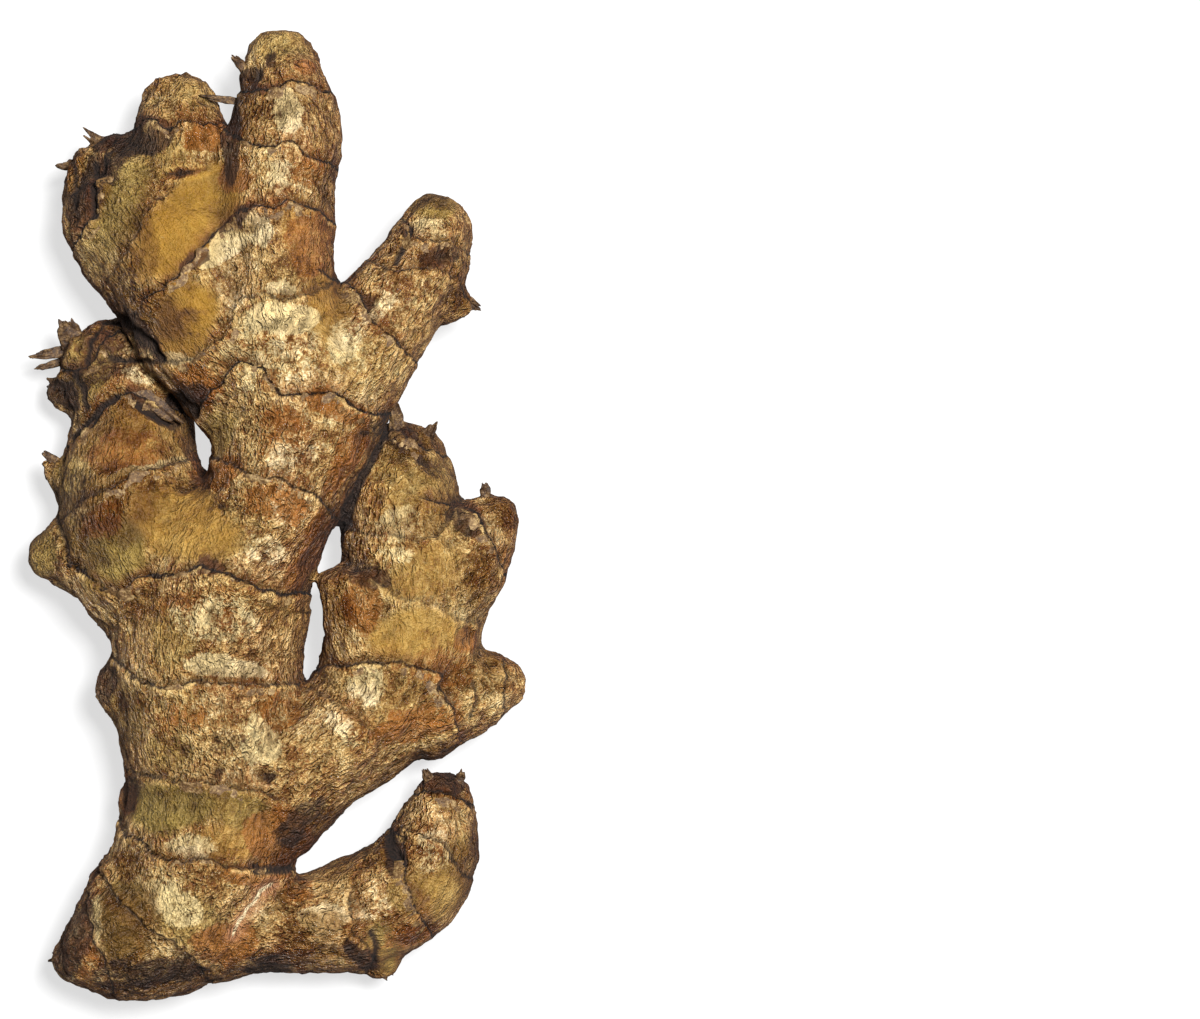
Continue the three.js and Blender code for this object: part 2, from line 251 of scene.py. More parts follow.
RINGS: tuple[Ring, ...] = (
    # The long finger, from its tip down.
    Ring(("long_finger",), 0.4, 0.95, 0.7, (
        (-5.5, 70), (-2, 70.3), (1, 70.2), (3.5, 71.2), (6, 71), (8, 70.2), (10.5, 69.8),
    )),
    Ring(("long_finger",), 0.35, 0.8, 0.5, (
        (-5, 62.2), (-2, 60.6), (1, 60.6), (3.5, 61.3), (5.5, 59), (8, 58.2), (10.8, 57),
    )),
    Ring(("long_finger", "left_lobe", "trunk"), 0.75, 1, 0.6, (
        (-17.6, 37), (-14, 40), (-10.5, 44.5), (-7.5, 47.3), (-5, 49.2), (-2, 50.4), (1, 50.2), (3, 51.4),
        (5.2, 50.2), (8, 49.6), (9.5, 48.6),
    )),
    Ring(("long_finger", "trunk"), 0.3, 0.55, 0, (
        (-7.5, 35.2), (-4.5, 36), (-1, 36), (2, 35.4), (5, 35.8), (7.5, 36.7), (10, 38.4),
    )),
    # The left lobe and the short finger.
    Ring(("left_lobe",), 0.3, 0.35, 0, (
        (-26, 40), (-23.4, 43.4), (-21.6, 47.6), (-19.6, 50.8), (-15.6, 54.2), (-10.8, 57.4),
    )),
    Ring(("left_lobe",), 0.6, 0.9, 0.7, (
        (-32, 46), (-29.6, 49), (-28.4, 53), (-27.6, 57), (-26.8, 60), (-24.5, 63.5),
    )),
    Ring(("short_finger", "left_lobe"), 0.4, 0.85, 0.4, (
        (-23, 64), (-20, 65.4), (-17, 63.6), (-15.4, 65), (-12, 64.7), (-8.5, 64.9), (-7, 63),
    )),
    # The trunk, from the fork down.
    Ring(("trunk", "left_lobe", "long_finger"), 0.45, 0.5, 0.4, (
        (-19, 26.2), (-17, 25.2), (-13, 25.3), (-10, 27), (-7, 29.8), (-6.4, 31.4),
    )),
    Ring(("trunk", "long_finger", "left_lobe", "right_prong"), 0.5, 0.95, 0.5, (
        (-9.8, 19.4), (-7.5, 22), (-5.5, 24.5), (-3.5, 25), (-1, 23.5), (0.5, 21.5), (2, 19.8), (5, 20),
        (8, 20), (11, 20), (13, 18.8), (16, 17), (19, 17.2),
    )),
    Ring(("trunk",), 0.4, 0.75, 0.3, (
        (-9.5, 9.5), (-6, 8.5), (-3, 6.8), (1, 6), (4, 4.8), (7, 4), (8.5, 2.2),
    )),
    Ring(("trunk", "left_branch", "left_branch_bud"), 0.7, 0.95, 0.6, (
        (-31, -9.5), (-27.5, -12), (-25, -13), (-22, -10.6), (-20, -9.5), (-15, -9.7), (-11, -8.4),
        (-8.5, -9.2), (-5, -10.3), (-2, -12), (1, -12.6), (5, -12.8),
    )),
    Ring(("trunk", "trunk_bud"), 0.5, 0.7, 0.5, (
        (-25, -24.6), (-22, -26.8), (-18, -28.2), (-14, -27.8), (-10, -27.4), (-5, -27.6), (2, -28),
    )),
    Ring(("trunk", "right_branch"), 0.6, 0.6, 0.4, (
        (-24, -41.6), (-21, -42.9), (-18, -43.2), (-14, -43.8), (-10, -44), (-6, -44.6), (-1, -46),
    )),
    Ring(("trunk", "bottom_lobe", "right_branch"), 0.7, 0.7, 0.5, (
        (-26, -50.5), (-24, -53.2), (-21, -53.8), (-19, -56), (-15, -56.8), (-10, -56.6), (-7, -57.8),
        (-3, -57.8), (0, -58.3), (4, -59.2),
    )),
    # The end lobe, outwards.
    Ring(("bottom_lobe", "trunk"), 0.5, 0.6, 0, (
        (-29, -58), (-26, -62), (-23, -65), (-20, -68), (-16, -70), (-13, -72), (-11, -76.5),
    )),
    Ring(("bottom_lobe",), 0.5, 0.7, 0, (
        (-31, -60), (-30.5, -66), (-29.5, -70), (-27.5, -73), (-27, -76), (-26.5, -80),
    )),
    # The right prong.
    Ring(("right_prong", "trunk", "long_finger"), 0.45, 0.8, 0.5, (
        (11, 38.6), (13.8, 37.4), (15.2, 35.6), (15.6, 33), (17.5, 31.4), (20, 29.2), (23, 26),
    )),
    Ring(("right_prong", "prong_spur"), 0.35, 0.6, 0, (
        (17.5, 41.5), (20, 40.4), (24, 40.8), (28, 40.6), (30.4, 39.6), (31.6, 37),
    )),
    Ring(("right_prong",), 0.4, 0.6, 0.4, (
        (20.4, 49.6), (22, 47.8), (23, 45.6), (26, 45.2), (29.6, 45.4), (32, 44),
    )),
    # The left branch, outwards.
    Ring(("left_branch", "left_branch_shoulder"), 0.55, 0.6, 0.5, (
        (-33, 1), (-31, 2.2), (-28, 3.6), (-26, 4.5), (-23.5, 6.5), (-20, 7.5), (-17, 8.5), (-13, 9.4),
    )),
    Ring(("left_branch",), 0.7, 1, 0.8, (
        (-34.5, 11.4), (-32, 13.5), (-30, 15), (-28.5, 17.5), (-26, 19.2), (-24, 20.6), (-17, 18),
    )),
    Ring(("left_branch", "left_branch_scar"), 0.6, 0.95, 0.8, (
        (-35, 24), (-31, 24.4), (-29.4, 27.6), (-26, 30.4), (-22, 29.6), (-18.6, 27.4),
    )),
    # The right branch, its stub, buds and spur.
    Ring(("right_branch", "right_branch_stub"), 0.45, 0.35, 0, (
        (9.6, -30.6), (13, -32.8), (15.5, -34.5), (17.4, -37), (16.6, -40), (14, -43),
    )),
    Ring(("right_branch", "right_branch_stub", "right_branch_spur"), 0.5, 0.75, 0.6, (
        (9.6, -25.4), (14.5, -24.3), (17, -24.3), (20.5, -24), (24, -25), (28, -26.3), (27.2, -28.4),
        (29, -31), (30, -34),
    )),
    Ring(("right_branch", "right_branch_stub"), 0.35, 0.3, 0, (
        (19.6, -12.4), (21.5, -14.1), (24, -14.1), (27, -14.3), (29, -16.4), (31.4, -17.4), (34, -18),
    )),
    Ring(("right_branch",), 0.5, 0.45, 0, (
        (12, -2.4), (16, -3), (20, -3.4), (24, -4.2), (27, -3.4), (29, -0.6), (30.5, 2.6),
    )),
    Ring(("right_branch",), 0.5, 0.8, 0.7, (
        (14.4, 12.6), (17.5, 13.6), (20, 14.4), (22.4, 12.4), (25, 10.8), (28.6, 10),
    )),
    Ring(("right_branch_bud", "right_branch"), 0.55, 0.95, 0.5, (
        (28.4, 1.8), (31, 1.4), (33.6, 0.2), (35.4, -3), (37, -6.4), (38, -10),
    )),
    Ring(("right_branch_spur",), 0.35, 0.7, 0, ((37.6, -22), (38, -25), (38.4, -28), (38, -31))),
    # The bottom finger, outwards.
    Ring(("bottom_finger", "bottom_finger_bud", "trunk"), 0.4, 0.6, 0, (
        (14, -60), (12.4, -64), (13, -69), (15, -71), (16.4, -73.2), (16, -75), (14, -77),
    )),
    Ring(("bottom_finger",), 0.45, 0.8, 0.5, (
        (18, -52.5), (21.6, -53.4), (21.5, -57), (21.8, -60.5), (23.4, -65), (26, -70),
    )),
    Ring(("bottom_finger",), 0.35, 0.6, 0, (
        (23, -52.4), (26, -53.4), (28.6, -54.4), (29.2, -57), (31, -60), (34, -61),
    )),
    Ring(("bottom_finger",), 0.4, 0.8, 0.5, (
        (22.6, -46.6), (25, -46.2), (28, -46.8), (31, -47.6), (33.4, -49),
    )),
)

# Oval patches seen from above: x and y of the middle, half length, half width, turn in degrees
# and strength.
PATCHES: dict[Tone, tuple[PatchRow, ...]] = {
    Tone.GOLD: (
        (-13.6, 46.8, 11.6, 6.8, 42, 1), (-9.6, 53.4, 6.6, 4.6, 30, 0.9), (-13.6, 32, 7.6, 5, 75, 1),
        (-14, -1.5, 10.5, 6.5, -14, 0.8), (-20.5, 13, 8, 5, 10, 0.45), (25, -9.6, 7.5, 4.5, 20, 0.45),
        (23.6, -19.6, 9, 4.4, 5, 0.7), (9.4, 34, 3.6, 7, 10, 0.7), (6, 47, 4, 6, 0, 0.45),
        (-6, -54, 6.5, 3.2, -6, 0.55), (27, -63, 6.5, 4, 40, 0.4), (18.5, -74, 3, 3, 0, 0.5),
        (-24, 13, 9, 6, 16, 0.55),
    ),
    Tone.OLIVE: (
        (-25, 51, 8.5, 5, 70, 0.75), (-19, 59, 7, 3.5, 15, 0.4), (-26, -6.5, 7, 5.5, 70, 0.9),
        (-8, 13.5, 5, 2.6, 80, 0.6), (-16.6, -47.8, 9.5, 4.4, 4, 0.95), (-5, -48.4, 6, 3.4, -10, 0.7),
        (-25, -67, 4.6, 8, -20, 0.75), (-14, -66, 8, 5, -30, 0.55), (29.4, -60, 3.4, 8, -20, 0.4),
        (22.6, -62, 4.4, 3.4, 40, 0.5), (18, -71.6, 2.4, 5, 8, 0.8), (-33, 2, 5, 9, 10, 0.55),
        (-24, -33, 3.4, 6, 0, 0.5), (28, 5, 4, 5, 0, 0.5), (-12, 70, 6, 4, 0, 0.35),
        (-17.5, -38.5, 5, 3, 0, 0.45), (-39.5, -6, 3, 4.5, 0, 0.7), (23, 8, 8, 6, 60, 0.4),
        (27, 52, 4.5, 2.5, 0, 0.7), (1, 78.5, 6, 3, 0, 0.5), (-29, 44, 3, 5, 0, 0.5),
        (-16, -20, 4, 6, 0, 0.4), (-31, 25, 5, 6, 0, 0.7),
    ),
    # Dark brown skin; some of these patches lie in gaps under laps and flaps, as painted shade.
    Tone.UMBER: (
        (-22.5, 62.4, 7.5, 3.4, 8, 1), (-35.4, 20.4, 3.4, 3, 0, 1), (-23.6, 32.4, 5, 1.3, -20, 0.8),
        (-30.5, 53.5, 7, 2.6, 84, 0.95), (-26.5, 58, 2.2, 4, -20, 0.6), (-22.5, 37.5, 5, 2.4, -60, 0.3),
        (-26, 27, 9, 5, 20, 0.4), (-36, 20, 4.5, 2.6, -30, 0.85), (-20.3, 18, 5.2, 2, -36, 1),
        (-13.2, 20, 3.4, 2.2, 20, 0.6), (-6.2, 62, 8, 1.8, 88, 0.8), (-3, 72.8, 2.2, 1.4, 60, 1),
        (-0.2, 76, 1.7, 0.8, 80, 1), (-1.5, 70.2, 3, 0.9, 0, 0.7), (-5, 48.6, 4.2, 1.2, 36, 0.9),
        (-12, 41.8, 2.8, 1.2, 48, 0.9), (27.6, 43.2, 3.6, 2.2, 25, 0.85), (22.4, 46.4, 2.4, 0.8, 80, 0.9),
        (15, 36, 2, 1.1, -40, 0.7), (31.6, -0.6, 3.6, 2.6, -30, 0.9), (24.5, 8.8, 1.4, 1, 0, 0.9),
        (20.5, 13.4, 5, 2.6, -30, 0.5), (16, -10, 4.5, 2.2, -12, 0.6), (4.6, -50.6, 6.5, 2.2, 42, 0.6),
        (20.4, -56, 4.2, 1.9, 88, 0.95), (28, -45, 4, 1.8, 0, 0.75), (-32.6, -70, 8, 3, 68, 0.7),
        (-18, -75.5, 8, 3, 0, 0.6), (-25, -76, 5, 3.5, 0, 0.4), (14, -72.8, 3.6, 1.6, -52, 0.95),
        (-1, -75, 4, 2, 0, 0.6), (-23.5, -46, 3.5, 1.5, 70, 0.6), (-27, -28, 3.5, 1.6, 80, 0.7),
        (-9.8, -8.6, 2.2, 1.2, -10, 0.9), (-7, -37, 3.4, 2.4, 0, 0.35), (0.1, -43, 0.9, 0.9, 0, 0.9),
        (-7.8, -42.2, 1, 1.4, 0, 0.7), (-33, 3, 6, 2.4, 76, 0.3),
    ),
    Tone.RUSSET: (
        (31.8, -20.2, 2.4, 1.6, 80, 0.9), (1.6, -53, 6, 5.5, 0, 0.85), (-9, 62.6, 5, 3, 0, 0.9),
        (-14.2, 56.4, 3.2, 1, 8, 0.9), (6.5, 44.5, 6, 4.5, 80, 0.55), (6.5, 57, 4, 3, 60, 0.5),
        (-5.5, 56, 3.5, 4, 0, 0.55), (-24, 10.5, 8, 4, 16, 0.5), (-28, -1, 5, 3, 50, 0.5),
        (-26, 24.5, 7, 4, 0, 0.2), (-12, 7, 4, 2.2, -50, 0.7), (-7, 7.5, 3.4, 2.2, 0, 0.8),
        (-12, 22, 4.5, 4, 0, 0.6), (11, 18, 6, 2.6, -20, 0.8), (12.5, 10, 8, 2.2, 62, 0.7),
        (1, 2, 6, 3.6, -14, 0.6), (2, 14, 6, 4, 20, 0.35), (6, -6, 9, 2.2, 70, 0.6),
        (15, -14, 6, 4, 80, 0.6), (28.5, -25, 6, 4, -20, 0.45), (24, -34, 8, 3.6, 20, 0.6),
        (-3, -59, 6, 2, 0, 0.9), (-8, -70.5, 5, 4, 0, 0.7), (1, -32, 5, 4, 0, 0.5),
        (-14, -33, 5, 3.6, 0, 0.4), (-10, -14, 10, 3, 0, 0.35), (-25, -46, 2.6, 4, 0, 0.8),
        (22, -70, 5, 2.4, 20, 0.5), (-31, -73, 4, 4, 0, 0.5), (4, -62, 3, 2, 0, 0.5),
        (5, 73.6, 2, 1.6, 0, 0.9),
    ),
    Tone.CREAM: (
        (2, 32.6, 6.5, 3.2, 0, 1), (1.8, 37.6, 2.4, 1, 0, 0.9), (0, 27, 9, 4, 0, 0.4),
        (12.5, 29, 3.4, 4.6, 0, 0.55), (-7, 44.6, 4, 3, 45, 0.8), (-1.6, 47, 3, 3.4, 0, 0.7),
        (2.4, 66, 2.6, 4, 0, 0.75), (1.6, 55.5, 2.2, 3.4, 0, 0.6), (-9.4, 42.4, 1.6, 2.6, -40, 0.8),
        (18, 35, 2.6, 5, -30, 0.5), (26, 37, 5, 3, 20, 0.3), (25.5, 47.6, 3.6, 2.2, 0, 0.5),
        (4, 10, 4.5, 3, 0, 0.4), (-3.2, 21, 1.6, 1.4, 0, 0.7), (-22, 7.6, 8, 0.9, 18, 0.8),
        (-16, 26.2, 5, 0.9, -6, 0.6), (-22, 23, 4, 1.6, 0, 0.6), (-1, -5, 4, 3, 0, 0.45),
        (-9, -17, 8, 4.5, 0, 0.5), (-7, -24.6, 7, 2.2, -4, 0.85), (-2, -37, 3.6, 5, 20, 0.6),
        (16, -28, 3.6, 4, 0, 0.6), (14, -20, 3, 2, 0, 0.35), (21, -1, 5, 3.4, 20, 0.55),
        (21, -6, 2.6, 1.8, 0, 0.5), (12.5, -35, 4, 2, -36, 0.5), (-16, -63.6, 6.5, 4.6, -30, 0.55),
        (-13.5, -54.2, 5.5, 2, 0, 0.6), (-28.4, -68, 1.6, 6.5, 0, 0.5), (8.4, -67, 4.6, 2.6, -10, 0.75),
        (16, -65, 4, 2.6, 0, 0.4), (26.6, -55.4, 3, 4.4, 0, 0.5), (-35.6, -76, 3, 0.8, -28, 1),
    ),
    Tone.CRUMPLED: (
        (-30, 25, 12, 7, 10, 1), (1, 76, 7, 6, 0, 0.5), (-16, 69.5, 7, 6, 0, 1),
        (-31, 55, 11, 4.5, 80, 0.9), (27, 47, 6.5, 7.5, 0, 0.6), (21, 7, 9, 8, 90, 0.8),
        (33.5, -1.5, 6, 4, 60, 0.6), (28, -48, 5, 6, 0, 0.7), (-36, 8, 4, 4, 0, 0.8),
        (-33, -73, 6, 4, 0, 0.5), (15.8, -73.5, 5, 3.4, 0, 0.5), (-3, 73, 3.5, 3, 0, 0.6),
        (8, -68, 7, 4, 0, 0.5), (-1, -67, 4, 6, 0, 0.6), (37, -27, 5, 4, 0, 0.5), (-4, -38, 7, 6, 0, 0.4),
        (9, -66, 8, 6, 0, 0.45), (-5, -67, 4, 6, 0, 0.4), (3, 24, 11, 7, 0, 0.3),
        (-9, -17, 10, 8, 0, 0.25), (14, -34, 8, 6, 20, 0.35), (-6, -36, 8, 5, 0, 0.35),
        (2, 54, 6, 12, 0, 0.25), (22, 32, 6, 8, -20, 0.3), (4, 8, 8, 6, 0, 0.25), (8, -69, 6, 4, 0, 0.7),
    ),
    # Brown stains, and painted shade on dark edges and in the gaps between parts.
    Tone.BROWN_AND_SHADE: (
        (-33.5, 57, 7, 3, 80, 0.8), (-28.5, 53, 7, 2.2, 80, 0.8), (-25, 63, 6, 3, 20, 0.7),
        (-23, 43.5, 8, 4, 75, 0.7), (-20, 33, 9, 5, -15, 1), (-14, 38, 4, 3, 0, 0.3),
        (-36, 31, 5, 4, 0, 0.8), (-33, 22.5, 4, 3.5, 0, 0.8), (-26, 16, 8, 5, 0, 0.7),
        (-14, 18.5, 5, 3, 0, 0.9), (-26, 2, 9, 8, 0, 0.85), (-30, -5, 6, 5, 0, 0.5),
        (-24, -13, 5, 3, 0, 0.4), (-23, -32, 6, 3, 90, 0.6), (-12, -47, 9, 4, -5, 0.55),
        (-22, -55, 4, 3, 0, 0.5), (-15, -57, 5, 1.5, 0, 0.4), (-23.5, -68, 10, 5.5, 75, 0.95),
        (-10, -77, 14, 3.5, 5, 1), (8, -71, 9, 6, 10, 0.8), (5, -54.5, 7, 3, 35, 0.9),
        (22, -42.5, 8, 2.5, 35, 0.6), (19, -55.5, 3.5, 2.8, 0, 0.9), (28, -45, 4.5, 3.5, 0, 0.6),
        (32.5, -58, 8, 2.5, 80, 0.7), (35, -26.5, 5, 4.5, 0, 0.6), (20, 12.5, 8, 5, -10, 0.8),
        (27, 13, 4, 3, -30, 0.6), (24, 0, 9, 5, 0, 0.4), (38, 2, 4, 3, 0, 0.9),
        (34.5, -12, 8, 3, 80, 0.8), (11.5, -15, 7, 2.2, 95, 0.7), (-4.2, 67, 7, 2.6, 90, 0.75),
        (-3.5, 48.2, 5, 1.8, 20, 0.6), (22, 42, 5, 4, 0, 0.45), (31.5, 38, 6, 3, 80, 0.8),
        (-14, 73, 4, 2.5, 0, 0.5), (-3, 78.5, 4, 2.5, 0, 0.4), (7.5, 50, 12, 2.6, 90, 0.35),
        (6.4, -7, 5, 2.4, 80, 0.5), (-24, 61, 4.5, 3, 10, 0.8), (-21, 41, 3.5, 6, -20, 0.6),
        (-17, 28, 6, 3, -35, 0.55), (-17, 13, 4, 4, 0, 0.6), (-15, 18, 4, 3.5, -20, 0.9),
        (-31, 11, 4, 3, 25, 0.5), (-31, -5, 6, 4, -25, 0.75), (23, 10, 6, 4.5, -35, 0.5),
        (37.5, 1, 3.6, 3.6, 0, 0.6), (24, -28, 2.4, 2.4, 0, 0.5), (-22, -30, 3.4, 3.2, 0, 0.7),
        (-23.5, -57, 3, 3.4, 0, 0.7), (6.5, -54, 5, 3.4, 45, 0.9), (-18, -77.5, 16, 3, 4, 0.7),
        (-4, -75, 5, 3.4, 0, 0.6), (-20, -72, 3, 2, 0, 0.5), (31.5, -58, 3.4, 5, 10, 0.7),
        (30, -46, 5, 3, 0, 0.5), (22, -41, 4, 2, 25, 0.7), (26.5, 53, 4, 2.4, 0, 0.6),
        (30, 36, 2.4, 5, 20, 0.5), (1, 67, 5, 3, 20, 0.35), (9.5, 58, 1.6, 15, 0, 0.5),
        (-31, 55, 3, 8, 10, 0.6), (-37, 26, 4, 7, 0, 0.6), (10, -3, 4, 6, -20, 0.8),
        (-37, 5, 3, 8, 0, 0.5), (12, -75.5, 8, 3, 0, 0.7), (23, -69, 5, 2.5, 30, 0.6),
        (7.5, -53, 8, 2.4, 50, 1), (26, -40, 6, 2, 22, 1), (-25, 61, 4, 3, 0, 0.8),
        (39, 1, 2.4, 4, 0, 0.9), (10, -3, 3, 6, -20, 1), (-30, 30, 5, 3, 0, 0.5),
        (8, -75, 8, 2.6, 0, 0.5),
    ),
    # Paler skin, and a painted highlight along the crowns of the trunk and fingers.
    Tone.PALE_AND_SHEEN: (
        (-9.5, 50, 3, 3, 0, 0.7), (0, 51.5, 6, 2, 0, 0.6), (-5.5, 38.5, 6, 4, 80, 0.8),
        (5.5, 45, 5, 4, 0, 0.5), (4, 61, 7, 3.5, 80, 0.5), (16, 33, 4, 3, 0, 0.5),
        (9, 22.5, 5, 2.5, 0, 0.6), (4, 28, 4, 3, 0, 0.4), (5, 13, 8, 4, 100, 0.45),
        (4, 2, 6, 4, 100, 0.5), (-1, -8, 7, 3, 0, 0.8), (13.5, -8, 3, 2.5, 0, 0.9),
        (-15, -13, 3, 2.5, 0, 0.4), (-3, -23, 5, 4, 0, 0.4), (-8, -34, 4, 3, 0, 0.35),
        (-25, 27.5, 3.5, 2.5, -30, 0.8), (-28, -28, 4, 2, 90, 0.6), (18, -62, 4, 3.5, 0, 0.5),
        (18.5, -73, 3, 2.5, 0, 0.6), (23, -35, 4, 2, 30, 0.4), (6, -34, 4, 2.5, 30, 0.4),
        (-5, -62, 4, 3, 0, 0.3), (-13, -55, 4, 1.2, 0, 0.5), (-25, -50, 3, 2.5, 0, 0.4),
        (1, 46, 5, 8, 0, 0.5), (-6, 43, 4, 3, 30, 0.4), (4, 18, 4, 8, -20, 0.5), (2, -6, 4, 5, 0, 0.45),
        (-8, -30, 5, 4, 10, 0.5), (-23, -65, 4.5, 4, -20, 0.7), (13, -68, 6, 4, 15, 0.7),
        (22, -64, 3, 3, 0, 0.4), (-26, 26, 3.6, 2.4, 10, 0.7), (14, 31, 5, 4, 35, 0.4),
        (24, 44, 3, 3, 0, 0.4), (27, -18, 4, 4, 0, 0.4), (-23, 24, 5, 3, -10, 0.5),
        (6, 53, 3, 6, 0, 0.35), (5, 76, 3, 4, 0, 0.4), (3, 10, 4, 9, 0, 0.5), (3, 50, 4, 10, 0, 0.4),
        (-1, -22, 5, 7, 0, 0.45), (13, -32, 6, 4, 25, 0.6), (-5, -43, 7, 2.4, 0, 0.5),
        (11, -64, 9, 5, 0, 0.5), (-2, 39, 6, 4, 0, 0.35), (20, 36, 4, 8, -25, 0.45),
        (18.2, -72, 2.2, 4.6, 8, 0.7), (27, -51, 4, 4, 0, 0.5), (20, -62, 5, 4, 30, 0.5),
        (-36, -71, 3, 6, -20, 0.6), (3, -72, 6, 4, 0, 0.55), (23, -67, 4, 3, 30, 0.5),
        (3, 9, 3, 12, -10, 0.4), (-6, -28, 6, 4, 0, 0.4), (1, -6, 4, 5, 0, 0.4), (5, 44, 5, 9, 0, 0.3),
    ),
}

DENTS: tuple[Dent, ...] = (
    Dent((-14.4, 56.6), (3.6, 0.9), 1.1, turn=8, rim=0.3, ink=0.7),  # slit over a sleeping bud
    Dent((-3.0, 72.9), (2.0, 1.2), 1.3, turn=60, ink=0.9),  # torn pit by the tip
    Dent((-0.2, 76.2), (1.6, 0.6), 0.9, turn=78, ink=0.8),
    Dent((5.0, 73.4), (2.2, 1.8), -0.6),  # round knob by the tip
    Dent((22.4, 46.4), (2.2, 0.7), 0.8, turn=80, ink=0.8),
    Dent((27.4, 43.0), (3.4, 1.8), 0.9, turn=20, ink=0.6),
    Dent((-0.6, -42.6), (1.9, 1.6), 0.9, rim=0.35, ink=0.2),  # bud eye on the trunk
    Dent((-0.6, -42.4), (0.9, 0.8), -0.5),
    Dent((31.8, -19.4), (2.2, 1.5), 0.8, turn=80, rim=0.3, ink=0.3),  # bud eye under the right bud
    Dent((31.9, -19.4), (1.0, 0.6), -0.6, turn=80),
    Dent((-3.6, 22.4), (3.0, 2.4), -0.7),  # swelling under the arched node line
    Dent((20.4, -56.2), (3.6, 1.5), 1.4, turn=86, ink=0.7),  # fold across the bottom finger
    Dent((-20.6, 18.0), (4.8, 1.4), 1.0, turn=-36, ink=0.8),  # gap under the dried flap
    Dent((24.5, 8.8), (1.2, 0.8), 0.8, ink=0.9),
    Dent((13.6, -7.9), (4.2, 1.6), 1.2, turn=-10, ink=0.5),  # hollow end of the broken stub
    Dent((-8.0, 1.8), (1.0, 0.8), 0.3, ink=0.5),
    Dent((15.2, 13.8), (1.0, 0.7), 0.3, turn=30, ink=0.7),
    Dent((-7.0, 38.0), (6.0, 3.0), 0.6, turn=60),  # saddle between trunk and long finger
    Dent((3.0, 34.0), (7.0, 2.6), -0.7),
    Dent((-22.8, 58.0), (4.0, 3.0), -0.5),
    Dent((-8.0, -67.0), (6.0, 2.4), 0.9, turn=60),  # trough beside the pale crack
    Dent((7.6, -66.6), (4.0, 2.6), -0.6),
    Dent((4.4, -1.6), (3.0, 3.0), -0.5),
    Dent((-18.0, -51.0), (6.0, 4.0), -0.5),
    Dent((-8.0, 62.4), (3.2, 2.4), -0.7),
)

GROOVES: tuple[Groove, ...] = (
    Groove(((-29, 33.0), (-25, 32.2), (-21.8, 30.0), (-19.4, 27.8), (-18, 25.6)), 0.8, 1.3),
    Groove(((-29.2, 31.6), (-30.6, 28.6), (-31, 25.4)), 0.45, 0.7, ink=0.8),
    Groove(((-27.4, 26.4), (-24.6, 25.6), (-21.6, 26.2), (-19, 25.4)), 0.5, 0.6, ink=0.75),
    Groove(((-26, 20), (-28.6, 18), (-31, 15.4), (-33.6, 13)), 0.5, 0.7),
    Groove(((-23.4, 19.2), (-20.6, 17), (-17.4, 15.4)), 0.45, 0.6, ink=0.9),
    Groove(((-17, 19.6), (-14.4, 18.6), (-12.4, 17.2)), 1.0, 1.2),
    Groove(((-33.2, 23.6), (-31.4, 21), (-31.2, 18)), 0.6, 0.9),
    Groove(((20.2, 17.4), (17.2, 11.4), (14.2, 5), (11.8, -0.7), (9.2, -4.8)), 0.7, 0.8),
    Groove(((5.6, -57), (2, -58.6), (-2.4, -58.4)), 0.6, 0.8),
    Groove(((-29.6, 58.4), (-29.2, 54), (-28.8, 49.4)), 0.55, 0.8, ink=0.9),
    Groove(((-33.2, 60), (-32.6, 55.6), (-32.4, 51)), 0.4, 0.5, ink=0.7),
    Groove(((-26.8, 60.2), (-27.6, 57.8), (-28.4, 56.4)), 0.4, 0.5, ink=0.7),
    Groove(((18.8, -52.8), (19.6, -55.4), (21.2, -57.8)), 0.7, 0.9),
    Groove(((16.2, -69), (17.2, -71.6), (16.4, -74.4)), 0.5, 0.7, ink=0.8),
    Groove(((-34.6, -65.6), (-31.6, -62), (-29.4, -58.6)), 0.5, 0.6, ink=0.7),
    Groove(((-36.6, 4), (-36.2, -0.6), (-34.6, -4.4), (-33.2, -8.6)), 0.45, 0.5, ink=0.6),
    Groove(((22.6, 47.8), (21.8, 45), (20.6, 41.6)), 0.5, 0.7, ink=0.8),
    Groove(((33, -27.4), (33.8, -30.4), (32.6, -33.4)), 0.4, 0.4, ink=0.6),
)

CRACK: tuple[Point2, ...] = ((0.2, -60.8), (-2, -62.1), (-3.4, -64.4), (-5.4, -67), (-6.4, -69.4))
CRACK_WIDTH = 0.55
CRACK_DEPTH = 0.7

